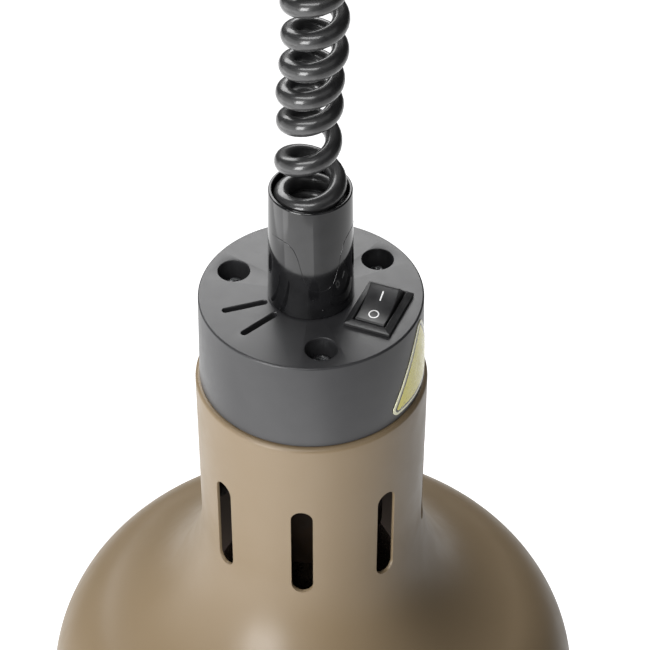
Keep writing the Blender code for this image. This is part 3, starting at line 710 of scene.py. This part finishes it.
def cord_route():
    """From inside the cap up the axis, out to the coil, round its turns and out of the upper cup."""
    count = round(COIL_END * POINTS_PER_TURN)
    coil = [coil_point(COIL_END * i / count) for i in range(count + 1)]
    start_along = (coil[1] - coil[0]).normalized()
    end_along = (coil[-1] - coil[-2]).normalized()
    up = Vector((0, 0, 1))
    tail_low = CAP_TOP - CUP_STEM_LENGTH - 3
    axis_top = CAP_TOP + 8.0
    steps_up = 12
    lower = [Vector((0, 0, tail_low + (axis_top - tail_low) * i / steps_up)) for i in range(steps_up + 1)]
    lower += between(lower[-1], up * 22, coil[0], start_along * 30, 16)
    hole = Vector((CORD_HOLE_X, 0, UPPER_CUP_TOP - 4.5))
    upper = between(coil[-1], end_along * 12, hole, up * 14, 10)
    upper += smooth_line([hole, (7, 0, -44), (8, 0, -37), (13, 3, -29), (18, 8, -25)], 5)
    route = [*lower, *coil, *upper]
    # The strand is pressed slightly oval where it is wound, and round in its two tails.
    ease = 14
    wound = []
    for i in range(len(route)):
        inside = min(i - len(lower) + ease, len(lower) + len(coil) - 1 + ease - i) / ease
        wound.append(max(0.0, min(1.0, inside)))
    return route, wound


def make_cord(mats):
    route, wound = cord_route()
    bm = swept(route, CORD_R, 24, dome=3, wound=wound)
    o = bpy.data.objects.new("curly_cord", finished_mesh("curly_cord", bm, 60))
    o.data.materials.append(mats["cord"])
    bpy.context.scene.collection.objects.link(o)
    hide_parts("spiral_cord", "cord_tail_lower", "cord_tail_upper")
    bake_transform(o)


# Lamp head


def make_cap(mats):
    top = CAP_TOP
    hole_r = CUP_STEM_R + 0.4
    inner_r = CAP_R_TOP - CAP_WALL
    profile = filleted(
        [
            (hole_r, top),
            (CAP_R_TOP, top, 0.7),
            (CAP_R_FOOT, top - CAP_HEIGHT, 0.25),
            (CAP_R_FOOT - CAP_WALL, top - CAP_HEIGHT),
            (inner_r, top - CAP_LID, 1.0),
            (hole_r, top - CAP_LID),
        ],
        6,
    )
    cap = piece("cap_shell", turned(profile, 256), mats["cap"], "lamp", ["cap"], 30)
    bosses, wells = [], []
    for a in SCREW_ANGLES:
        place = on_circle(SCREW_CIRCLE_R, a)
        bosses.append(moved(rod(CAP_BOSS_R, top - CAP_HEIGHT, top + 1 - CAP_LID, 48), place))
        seat, foot = top - SCREW_WELL_DEPTH, top - CAP_HEIGHT - 1
        rim = 0.3
        bore = SCREW_R + 0.4
        well = [(0, top + 1), (SCREW_WELL_R + rim, top + 1), (SCREW_WELL_R + rim, top)]
        well += arc(SCREW_WELL_R + rim, top - rim, rim, 90, 180, 4)
        well += [(SCREW_WELL_R, seat), (bore, seat), (bore, foot), (0, foot)]
        wells.append(moved(turned(well, 64), place))
    carve(cap, bosses, "UNION")
    carve(cap, wells)
    vents = []
    length, middle = VENT_R_OUT - VENT_R_IN, (VENT_R_IN + VENT_R_OUT) / 2
    for a in VENT_ANGLES:
        wide = stadium(length + 0.4, VENT_WIDTH + 0.4)
        plain = stadium(length, VENT_WIDTH)
        sections = [(plain, top - CAP_LID - 1), (plain, top - 0.25), (wide, top), (wide, top + 1)]
        vents.append(moved(lofted(sections), on_circle(middle, a)))
    carve(cap, vents)
    opening = rounded_box(13.3, 19.6, 0.6)
    window = lofted([(opening, top - CAP_LID - 2), (opening, top + 1)])
    carve(cap, [moved(window, on_circle(SWITCH_R, SWITCH_ANGLE))])


def cross_recess(size, depth, low):
    """Cutter for a cross-head screw's recess: two tapering blades."""
    blades = []
    for turn in (0, 90):
        top = rounded_box(size, size * 0.24, 0.05, 1)
        foot = rounded_box(size * 0.45, size * 0.16, 0.05, 1)
        blades.append(moved(lofted([(foot, low - depth), (top, low), (top, low + 1)]), at(0, 0, 0, turn)))
    return blades


def make_screw(name, place, end, radius, seat, head_r, head_h, mat, body, stands_for, recess_turn=20):
    """Pan-head screw, point down, with a cross recess."""
    profile = [(0, end), (radius * 0.6, end), (radius, end + 1)]
    profile += [(radius, seat), (head_r, seat)]
    profile += arc(head_r - head_h * 0.75, seat + head_h * 0.25, head_h * 0.75, 0, 80, 6)
    profile += [(0, seat + head_h)]
    o = piece(name, turned(profile, 48), mat, body, [stands_for], 40)
    blades = cross_recess(head_r * 1.25, head_h * 0.75, seat + head_h)
    for blade in blades:
        carve(o, [moved(blade, at(0, 0, 0, recess_turn))], sharp_degrees=40)
    o.data.transform(Matrix.Diagonal((1 / MM, 1 / MM, 1 / MM, 1)))
    o.data.transform(place)
    o.data.transform(Matrix.Diagonal((MM, MM, MM, 1)))


def make_cap_screws(mats):
    seat = CAP_TOP - SCREW_WELL_DEPTH + GAP
    for number, a in enumerate(SCREW_ANGLES, 1):
        p = polar(SCREW_CIRCLE_R, a)
        name = f"cap_screw_{number}"
        place = at(p.x, p.y)
        make_screw(
            f"{name}_detail", place, seat - 30, SCREW_R, seat, SCREW_HEAD_R, SCREW_HEAD_HEIGHT, mats["zinc"],
            "lamp", name, 15 + 50 * number,
        )


def make_cable_cup(mats):
    top = CAP_TOP
    floor = top + 6.0
    cord_hole = CORD_R + 0.45
    corners = [
        (cord_hole, top - CUP_STEM_LENGTH),
        (CUP_STEM_R, top - CUP_STEM_LENGTH, 0.3),
        (CUP_STEM_R, top + GAP),
        (CUP_R_BASE, top + GAP, 0.35),
        (CUP_R_MOUTH, top + CUP_HEIGHT, 0.5),
        (CUP_BORE_R, top + CUP_HEIGHT, 0.35),
        (CUP_BORE_R, floor, 0.8),
        (cord_hole, floor),
    ]
    cup = piece(
        "cable_cup_shell", turned(filleted(corners, 6), 192), mats["gloss"], "lamp",
        ["cable_cup"], 40,
    )

    # Half of the moulding line: degrees from its middle, height above the cap
    half = [(0, 11.2), (9, 11.5), (16.5, 12.9), (22, 15.6), (27, 19.6)]
    half += [(31.5, 23.6), (38, 26.8), (48, 28.4), (62, 28.7), (76, 28.2)]
    middle = -76.0
    line = []
    for degrees, height in [(-d, h) for d, h in reversed(half)] + half[1:]:
        radius = CUP_R_BASE + (CUP_R_MOUTH - CUP_R_BASE) * height / CUP_HEIGHT
        line.append(polar(radius - 0.02, middle + degrees, top + height))
    bm = swept(smooth_line(line, 5), 0.11, 8, dome=2)
    piece("cable_cup_line", bm, mats["gloss"], "lamp", sharp_degrees=70)
    gate = turned([(0, -0.3), (0.35, -0.3), (0.35, 0.0), (0.22, 0.14), (0, 0.16)], 16)
    outward = Matrix.Rotation(math.pi / 2, 4, "Y")
    p = polar(13.33, -73.4, top + 3.6)
    turn = Matrix.Translation(p) @ Matrix.Rotation(math.radians(-73.4), 4, "Z") @ outward
    piece("cable_cup_gate", moved(gate, turn), mats["gloss"], "lamp", sharp_degrees=70)


def label_shell(outline, inner, thickness, name, mat, stands_for=()):
    """Thin closed patch on the side of the cap from a flat outline of (across, up), optionally a ring."""
    draft = (CAP_R_FOOT - CAP_R_TOP) / CAP_HEIGHT

    def on_cap(across, up, lift):
        radius = CAP_R_TOP - draft * up + 0.1 + lift
        return polar(radius, LABEL_ANGLE + math.degrees(across / CAP_R_TOP), CAP_TOP + up)

    bm = bmesh.new()
    steps = len(outline)
    rows = 10
    grid = []
    for lift in (thickness, 0.0):
        layer = []
        for s in range(rows + 1):
            t = s / rows
            ring = []
            for k in range(steps):
                x = outline[k][0] * (1 - t) + inner[k][0] * t
                y = outline[k][1] * (1 - t) + inner[k][1] * t
                ring.append(bm.verts.new(on_cap(x, y, lift)))
            layer.append(ring)
        grid.append(layer)
    top, low = grid
    for layer, order in ((top, 1), (low, -1)):
        for a, b in zip(layer, layer[1:]):
            for k in range(steps):
                j = (k + 1) % steps
                bm.faces.new([a[k], a[j], b[j], b[k]][::order])
    for k in range(steps):
        j = (k + 1) % steps
        bm.faces.new([low[0][k], low[0][j], top[0][j], top[0][k]])
        bm.faces.new([top[-1][k], top[-1][j], low[-1][j], low[-1][k]])
    piece(name, bm, mat, "lamp", stands_for, 50)


LABEL_ANGLE = -19.0
LABEL_SIDE = 35.0
LABEL_LOW = -29.7
# Each printed layer: piece, distance inside the label's edge, height of its face
LABEL_LAYERS = (("label_film", 0.0, 0.20), ("label_line", 0.95, 0.225), ("label_field", 1.7, 0.25))


def label_outline(inset, shrink=1.0):
    """Rounded triangle, point up, a given distance inside the label's edge, shrunk about its middle."""
    height = LABEL_SIDE * math.sqrt(3) / 2
    corner = max(2.5 - inset, 0.4)
    centre = LABEL_LOW + height / 3
    spread = height * 2 / 3 - 2 * inset - 2 * corner
    points = []
    corners = []
    for apex in (90, 210, 330):
        middle = polar(spread, apex)
        corners.append([middle + polar(corner, apex - 60 + 12 * i) for i in range(11)])
    for i, here in enumerate(corners):
        points += here
        start, end = here[-1], corners[(i + 1) % 3][0]
        points += [start.lerp(end, s / 12) for s in range(1, 12)]
    return [(p.x * shrink, centre + p.y * shrink) for p in points]


def make_label(mats):
    finishes = {"label_film": "label_edge"}
    for name, inset, thickness in LABEL_LAYERS:
        stands_for = ["label"] if name == "label_film" else ()
        mat = mats[finishes.get(name, name)]
        label_shell(label_outline(inset), label_outline(inset, 0.02), thickness, name, mat, stands_for)


def make_switch(mats):
    place = on_circle(SWITCH_R, SWITCH_ANGLE)
    top = CAP_TOP
    low, high = top + GAP, top + GAP + SWITCH_BEZEL
    body = rounded_box(12.9, 19.2, 0.5)
    outer = (SWITCH_WIDTH, SWITCH_LENGTH)
    inner = (10.6, 17.7)
    sections = [
        (body, top - SWITCH_DEPTH),
        (body, low),
        (rounded_box(*outer, 0.4), low),
        (rounded_box(*outer, 0.4), high - 1.05),
        (rounded_box(outer[0] - 0.25, outer[1] - 0.25, 0.35), high - 0.85),
        (rounded_box(inner[0] + 0.7, inner[1] + 0.7, 0.4), high - 0.05),
        (rounded_box(inner[0] + 0.5, inner[1] + 0.5, 0.4), high),
        (rounded_box(inner[0] + 0.2, inner[1] + 0.2, 0.38), high - 0.08),
        (rounded_box(*inner, 0.35), high - 0.35),
        (rounded_box(*inner, 0.35), top - 7.5),
    ]
    bm = moved(lofted(sections), place)
    piece("switch_frame", bm, mats["satin"], "lamp", ["switch_body"], 30)

    face_sweep = ROCKER_FACE_END - ROCKER_FACE_START
    ends = [tuple(polar(ROCKER_R, ROCKER_FACE_START + face_sweep * i / 10).xy) for i in range(11)]
    rise = ends[-1][1]

    def dish(x):
        """Height of the rocker's concave top."""
        return rise - ROCKER_DISH * (1 - (x / ends[-1][0]) ** 2)

    across = ends[-1][0]
    half = [(5, -2.6), *ends, *[(across * (1 - i / 10), dish(across * (1 - i / 10))) for i in range(1, 10)]]
    outline = [*half, (0, dish(0)), *[(-x, y) for x, y in reversed(half)]]
    stand_up = Matrix.Rotation(math.pi / 2, 4, "Z") @ Matrix.Rotation(math.pi / 2, 4, "X")
    tilt = Matrix.Rotation(math.radians(ROCKER_TILT), 4, "X")
    p = polar(SWITCH_R, SWITCH_ANGLE)
    pivot = at(p.x, p.y, CAP_TOP + ROCKER_PIVOT, SWITCH_ANGLE) @ tilt
    flat = lofted([(outline, -ROCKER_WIDTH / 2), (outline, ROCKER_WIDTH / 2)])
    rocker = piece(
        "rocker", moved(flat, pivot @ stand_up), mats["satin"], "rocker",
        ["switch_rocker"], 30,
    )
    soften(rocker, 0.35, 3, 32)

    bar = [(x, y + MARK_OFFSET) for x, y in rounded_box(0.45, 3.2, 0.2, 3)]
    ring_r, ring_half = 1.45, 0.2
    ring_out, ring_in = [], []
    for k in range(40):
        p = polar(1, 9 * k)
        ring_out.append((p.x * (ring_r + ring_half), p.y * (ring_r + ring_half) - MARK_OFFSET))
        ring_in.append((p.x * (ring_r - ring_half), p.y * (ring_r - ring_half) - MARK_OFFSET))
    for name, outer_line, inner_line in (
        ("mark_on", bar, [(x * 0.05, MARK_OFFSET + (y - MARK_OFFSET) * 0.05) for x, y in bar]),
        ("mark_off", ring_out, ring_in),
    ):
        bm = bmesh.new()
        layers = []
        for lift in (0.035, -0.05):
            rings = []
            for s in range(5):
                t = s / 4
                ring = []
                for (x0, y0), (x1, y1) in zip(outer_line, inner_line):
                    x, y = x0 + (x1 - x0) * t, y0 + (y1 - y0) * t
                    ring.append(bm.verts.new((x, y, dish(y) + lift)))
                rings.append(ring)
            layers.append(rings)
        count = len(outer_line)
        for rings in layers:
            for a, b in zip(rings, rings[1:]):
                for k in range(count):
                    j = (k + 1) % count
                    bm.faces.new([a[k], a[j], b[j], b[k]])
        for edge in (0, -1):
            for k in range(count):
                j = (k + 1) % count
                bm.faces.new([layers[0][edge][k], layers[0][edge][j], layers[1][edge][j], layers[1][edge][k]])
        piece(name, moved(bm, pivot), mats["mark"], "rocker", sharp_degrees=40)


def make_shade(mats):
    flare = (NECK_R + FLARE_R, CAP_TOP + FLARE_TOP)
    across = flare[0] - (SHADE_R - SHOULDER_R)
    reach = FLARE_R + SHOULDER_R
    drop = math.sqrt(reach**2 - across**2)
    shoulder = (SHADE_R - SHOULDER_R, flare[1] - drop)
    meet = math.degrees(math.atan2(drop, across))
    flange = CAP_TOP + FLANGE_TOP
    bend = (NECK_R - NECK_BEND_R, flange - NECK_BEND_R)
    sheet = 1.0
    bottom = CAP_TOP + SHADE_BOTTOM

    def wall(start, end, x, count):
        """Straight rows between two heights, so that the carved slots meet short faces."""
        return [(x, start + (end - start) * i / count) for i in range(1, count)]

    profile = [(FLANGE_R_IN, flange)]
    profile += arc(*bend, NECK_BEND_R, 90, 0, 8)
    profile += wall(bend[1], flare[1], NECK_R, 14)
    profile += arc(*flare, FLARE_R, 180, 180 + meet, 40)
    profile += arc(*shoulder, SHOULDER_R, meet, 0, 28)[1:]
    profile += wall(shoulder[1], bottom + 2 * RIM_BEAD_R, SHADE_R, 12)
    profile += arc(SHADE_R, bottom + RIM_BEAD_R, RIM_BEAD_R, 90, -90, 12)
    profile += [(SHADE_R - sheet, bottom)]
    profile += wall(bottom, shoulder[1], SHADE_R - sheet, 12)
    profile += arc(*shoulder, SHOULDER_R - sheet, 0, meet, 28)
    profile += arc(*flare, FLARE_R + sheet, 180 + meet, 180, 40)[1:]
    profile += wall(flare[1], bend[1], NECK_R - sheet, 14)
    profile += arc(*bend, NECK_BEND_R - sheet, 0, 90, 4)
    profile += [(FLANGE_R_IN, flange - sheet)]
    bm = turned(profile, 240)
    shade = piece("spun_shade", bm, mats["shade"], "lamp", ["shade"], 45)
    stand_up = Matrix.Rotation(math.pi / 2, 4, "Y")
    slots = []
    for k in range(SLOT_COUNT):
        length = SLOT_TOP - SLOT_BOTTOM
        sections = []
        for wider, depth in ((0, 30), (0, NECK_R - 0.25), (0.5, NECK_R + 0.05), (3, 44)):
            sections.append((stadium(length + wider, SLOT_WIDTH + wider), depth))
        bm = moved(lofted(sections), stand_up)
        bmesh.ops.translate(bm, vec=(0, 0, CAP_TOP + (SLOT_TOP + SLOT_BOTTOM) / 2), verts=bm.verts)
        slots.append(moved(bm, at(0, 0, 0, SLOT_FIRST_ANGLE + 360 * k / SLOT_COUNT)))
    carve(shade, slots, sharp_degrees=45)
    holes = []
    for a in SCREW_ANGLES:
        holes.append(moved(rod(SCREW_R + 0.5, flange - 3, flange + 2, 32), on_circle(SCREW_CIRCLE_R, a)))
    carve(shade, holes, sharp_degrees=45)


def make_lampholder(mats):
    disc_top = CAP_TOP - CAP_HEIGHT - GAP - 1.0 - GAP
    disc_thick = 2.0
    holder_top = disc_top - disc_thick - GAP
    bottom = CAP_TOP + HOLDER_BOTTOM
    corners = [
        (10, holder_top),
        (HOLDER_R, holder_top, 1.5),
        (HOLDER_R, bottom, 0.3),
        (HOLDER_R - HOLDER_SHEET, bottom, 0.3),
        (HOLDER_R - HOLDER_SHEET, holder_top - HOLDER_SHEET, 0.8),
        (10, holder_top - HOLDER_SHEET),
    ]
    cup = piece(
        "lampholder_shell", turned(filleted(corners, 6), 128), mats["holder"], "lamp",
        ["lampholder_cup"], 35,
    )
    holes = []
    for a in (90, 270):
        hole = rod(1.7, holder_top - 2, holder_top + 1, 24)
        holes.append(moved(hole, on_circle(HOLDER_SCREW_CIRCLE_R, a)))
    carve(cup, holes)


def make_bulb(mats):
    """Reflector bulb: a dark upper wall and a stippled face. Outline heights are above the cap."""
    outline = [
        (11.2, -70), (11.2, -84), (13.2, -89), (17.5, -95), (25.0, -113), (35.0, -135), (46.0, -158),
        (57.0, -185), (61.6, -199), (62.5, -207), (62.0, -214), (60.0, -219), (55.5, -223.8),
        (48.0, -227.5), (26.0, -232.5), (12.0, -233.4), (0, BULB_BOTTOM),
    ]
    outer = [Vector((r, 0, CAP_TOP + z)) for r, z in outline]
    line = [(p.x, p.z) for p in smooth_line(outer[1:], 6)]
    line = [(outer[0].x, outer[0].z), *[(max(r, 0.0), z) for r, z in line[:-1]], (0.0, CAP_TOP + BULB_BOTTOM)]

    def inset(points, depth):
        inner = []
        for i, (r, z) in enumerate(points):
            r0, z0 = points[max(i - 1, 0)]
            r1, z1 = points[min(i + 1, len(points) - 1)]
            run = math.hypot(r1 - r0, z1 - z0)
            inner.append((max(r + depth * (z1 - z0) / run, 0.0), z - depth * (r1 - r0) / run))
        return inner

    split = next(i for i, (r, z) in enumerate(line) if z < CAP_TOP + BULB_FACE_TOP)
    wall = line[: split + 1]
    bm = turned([*wall, *reversed(inset(wall, BULB_WALL))], 144)
    # The reflector wall's dark silvering is painted shade.
    piece("bulb_reflector", bm, mats["bulb_wall_painted_shade"], "bulb", ["bulb_glass"], 50)
    face = line[split:]
    lip = [(r - 0.02, z) for r, z in face[:1]]
    face = [*lip, *face[1:-1], (0.0, face[-1][1])]
    back = inset(face, BULB_WALL)
    back[-1] = (0.0, face[-1][1] + BULB_WALL)
    bm = turned([*[(r, z - 0.05) for r, z in face], *[(r, z - 0.05) for r, z in reversed(back)]], 144)
    piece("bulb_face", bm, mats["face"], "bulb", sharp_degrees=50)


# Ceiling fitting


def make_rose(mats):
    corner = 12.0
    inner = ROSE_R - ROSE_WALL
    profile = [(inner, -GAP), (ROSE_R - 0.3, -GAP), (ROSE_R, -GAP - 0.3)]
    profile += arc(ROSE_R - corner, corner - ROSE_DEPTH, corner, 0, -90, 20)
    profile += arc(ROSE_HOLE_R + 1.0, ROSE_WALL / 2 - ROSE_DEPTH, 1.0, -90, -270, 10)
    profile += arc(ROSE_R - corner, corner - ROSE_DEPTH, corner - ROSE_WALL, -90, 0, 20)
    bm = turned(profile, 192)
    rose = piece("rose_cover", bm, mats["rose"], "ceiling", ["ceiling_rose"], 40)
    along_x = Matrix.Rotation(math.pi / 2, 4, "Y")
    for side in (1, -1):
        place = Matrix.Translation((side * (ROSE_R - 1), 0, ROSE_SCREW_Z)) @ along_x
        carve(rose, [moved(rod(1.9, -4, 4, 32), place)], sharp_degrees=40)
    for name, side in (("rose_screw_right", 1), ("rose_screw_left", -1)):
        turn = Matrix.Rotation(side * math.pi / 2, 4, "Y")
        place = Matrix.Translation((side * ROSE_R, 0, ROSE_SCREW_Z)) @ turn
        make_screw(f"{name}_detail", place, -8, 1.5, GAP, 3.2, 1.8, mats["zinc"], "ceiling", name)


def eye_line(top, eye_z, direction):
    """Straight stem that bends into an open eye in the XZ plane: below the stem if direction is -1."""
    first, sweep = math.radians(35), math.radians(270)

    def on_ring(angle):
        return Vector((RING_R * math.sin(angle), 0, eye_z - direction * RING_R * math.cos(angle)))

    corner = on_ring(0)
    bend_start = corner - Vector((0, 0, direction * 1.5))
    line = [Vector((0, 0, top))]
    for i in range(7):
        t = i / 7
        line.append(bend_start * (1 - t) ** 2 + 2 * corner * t * (1 - t) + on_ring(first) * t**2)
    line += [on_ring(first + sweep * i / 40) for i in range(41)]
    return line


def make_hanger(mats):
    hook_wire_z = HOOK_Z - RING_R
    link_z = hook_wire_z + 2 * WIRE_R + GAP - RING_R
    link_wire_z = link_z - RING_R
    bm = swept(eye_line(-BRACKET_SHEET - GAP, HOOK_Z, -1), WIRE_R, 20)
    piece("hook", bm, mats["wire"], "ceiling", ["ceiling_hook"], 60)
    ring = []
    for k in range(56):
        a = math.tau * k / 56
        ring.append(Vector((0, RING_R * math.cos(a), link_z + RING_R * math.sin(a))))
    bm = swept(ring, WIRE_R, 20, closed=True)
    piece("link", bm, mats["wire"], "link", ["swivel_link"], 60)
    eye_z = link_wire_z + 2 * WIRE_R + GAP - RING_R
    stem_end = UPPER_CUP_TOP - 4.0 - GAP - 3.0 - 1
    bm = swept(eye_line(stem_end, eye_z, 1), WIRE_R, 20)
    piece("eye", bm, mats["wire"], "hanger", ["hanger_eye"], 60)

    plate = 4.0
    cup_top, mouth = UPPER_CUP_TOP, UPPER_CUP_MOUTH
    corners = [
        (2.2, cup_top),
        (CUP_R_BASE, cup_top, 1.0),
        (CUP_R_MOUTH, mouth, 0.5),
        (CUP_BORE_R, mouth, 0.35),
        (CUP_BORE_R, cup_top - plate, 0.8),
        (2.2, cup_top - plate),
    ]
    cup = piece(
        "upper_cup_shell", turned(filleted(corners, 6), 160), mats["gloss"], "hanger",
        ["upper_cable_cup"], 40,
    )
    hole = rod(CORD_R + GAP, cup_top - plate - 2, cup_top + 2, 32)
    carve(cup, [moved(hole, at(CORD_HOLE_X, 0))], sharp_degrees=40)


# Finish of the CAD nodes that show as they are

KEPT_NODES = {
    "zinc": ["ceiling_bracket", "hanger_nut", "cable_cup_nut", "mounting_disc"],
    "ivory": ["terminal_block", "cord_grip"],
    "brass": [
        "switch_terminal_feed", "switch_terminal_lamp", "screw_shell", "centre_contact", "earth_screw",
        "bulb_tip",
    ],
    "porcelain": ["lampholder_body"],
    "nickel": [
        "bulb_cap", "lead_wire_left", "lead_wire_right", "lampholder_screw_front",
        "lampholder_screw_back",
    ],
    "glass": ["bulb_stem"],
    "gloss": ["bulb_insulator"],
    "tungsten": ["filament"],
    "wire_brown": ["wire_feed", "wire_switched"],
    "wire_blue": ["wire_neutral"],
    "wire_green": ["wire_earth"],
}


def dress_kept_nodes(mats):
    for finish, names in KEPT_NODES.items():
        for name in names:
            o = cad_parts[name]
            for material_slot in o.material_slots:
                material_slot.material = mats[finish]


# Studio


def area_light(name, place, target, size, power):
    data = bpy.data.lights.new(name, "AREA")
    data.shape = "RECTANGLE"
    data.size, data.size_y = size
    data.energy = power
    o = bpy.data.objects.new(name, data)
    o.location = place
    direction = Vector(target) - Vector(place)
    o.rotation_mode = "QUATERNION"
    o.rotation_quaternion = direction.to_track_quat("-Z", "Y")
    o.visible_camera = False
    bpy.context.scene.collection.objects.link(o)


def make_studio():
    world = bpy.data.worlds.new("studio")
    world.use_nodes = True
    nodes, links = world.node_tree.nodes, world.node_tree.links
    # The room is white to the camera and adds only a little fill, so that the lights shape the lamp.
    background = nodes["Background"]
    background.inputs["Color"].default_value = (1, 1, 1, 1)
    strength = nodes.new("ShaderNodeMapRange")
    strength.inputs["To Min"].default_value = ROOM_FILL
    strength.inputs["To Max"].default_value = 1.0
    links.new(nodes.new("ShaderNodeLightPath").outputs["Is Camera Ray"], strength.inputs["Value"])
    links.new(strength.outputs["Result"], background.inputs["Strength"])
    bpy.context.scene.world = world
    bpy.context.scene.view_settings.view_transform = "Standard"

    floor = Surface("floor", Metallic=0.0, Specular_IOR_Level=0.2)
    floor.shader.inputs["Emission Color"].default_value = (1, 1, 1, 1)
    across = floor.node("ShaderNodeSeparateXYZ")
    floor.link(floor.place, across.inputs["Vector"])
    # The floor gives off light, a little less on the right, where the photo's shade is dark.
    glow = floor.spread(across.outputs["X"], 0.35, 1.6, 1.0, 0.7)
    floor.link(glow, floor.shader.inputs["Emission Strength"])
    floor.colours(floor.noise(60.0, 2.0), (0.86, 0.86, 0.86), (0.88, 0.88, 0.88))
    floor.roughness(floor.noise(20.0, 2.0), 0.7, 0.8)
    bm = bmesh.new()
    bmesh.ops.create_grid(bm, x_segments=4, y_segments=4, size=FLOOR_HALF_SIZE)
    bmesh.ops.translate(bm, vec=(0, 0, FLOOR_Z), verts=bm.verts)
    o = bpy.data.objects.new("floor", finished_mesh("floor", bm, 30))
    o.data.materials.append(floor.material)
    bpy.context.scene.collection.objects.link(o)

    area_light("back", (-0.4, 1.6, 0.95), LIGHTS_AIM, (2.4, 1.2), 47)
    area_light("left_wall", (-1.5, 0.0, -0.6), LIGHTS_AIM, (1.6, 1.2), 7)
    area_light("key", (-0.85, -1.15, -0.2), LIGHTS_AIM, (0.6, 0.6), 17)
    area_light("top_front", (-0.7, -1.05, 1.05), LIGHTS_AIM, (1.8, 0.5), 22)
    area_light("right_fill", (0.9, -1.0, 1.0), LIGHTS_AIM, (1.2, 1.2), 2)
    area_light("floor_wash", (-0.8, -1.1, -1.25), (-0.8, -1.1, 0), (2.0, 1.4), 8)


camera()
materials = make_materials()
make_cord(materials)
make_cap(materials)
make_cap_screws(materials)
make_cable_cup(materials)
make_label(materials)
make_switch(materials)
make_shade(materials)
make_lampholder(materials)
make_bulb(materials)
make_rose(materials)
make_hanger(materials)
dress_kept_nodes(materials)
make_studio()
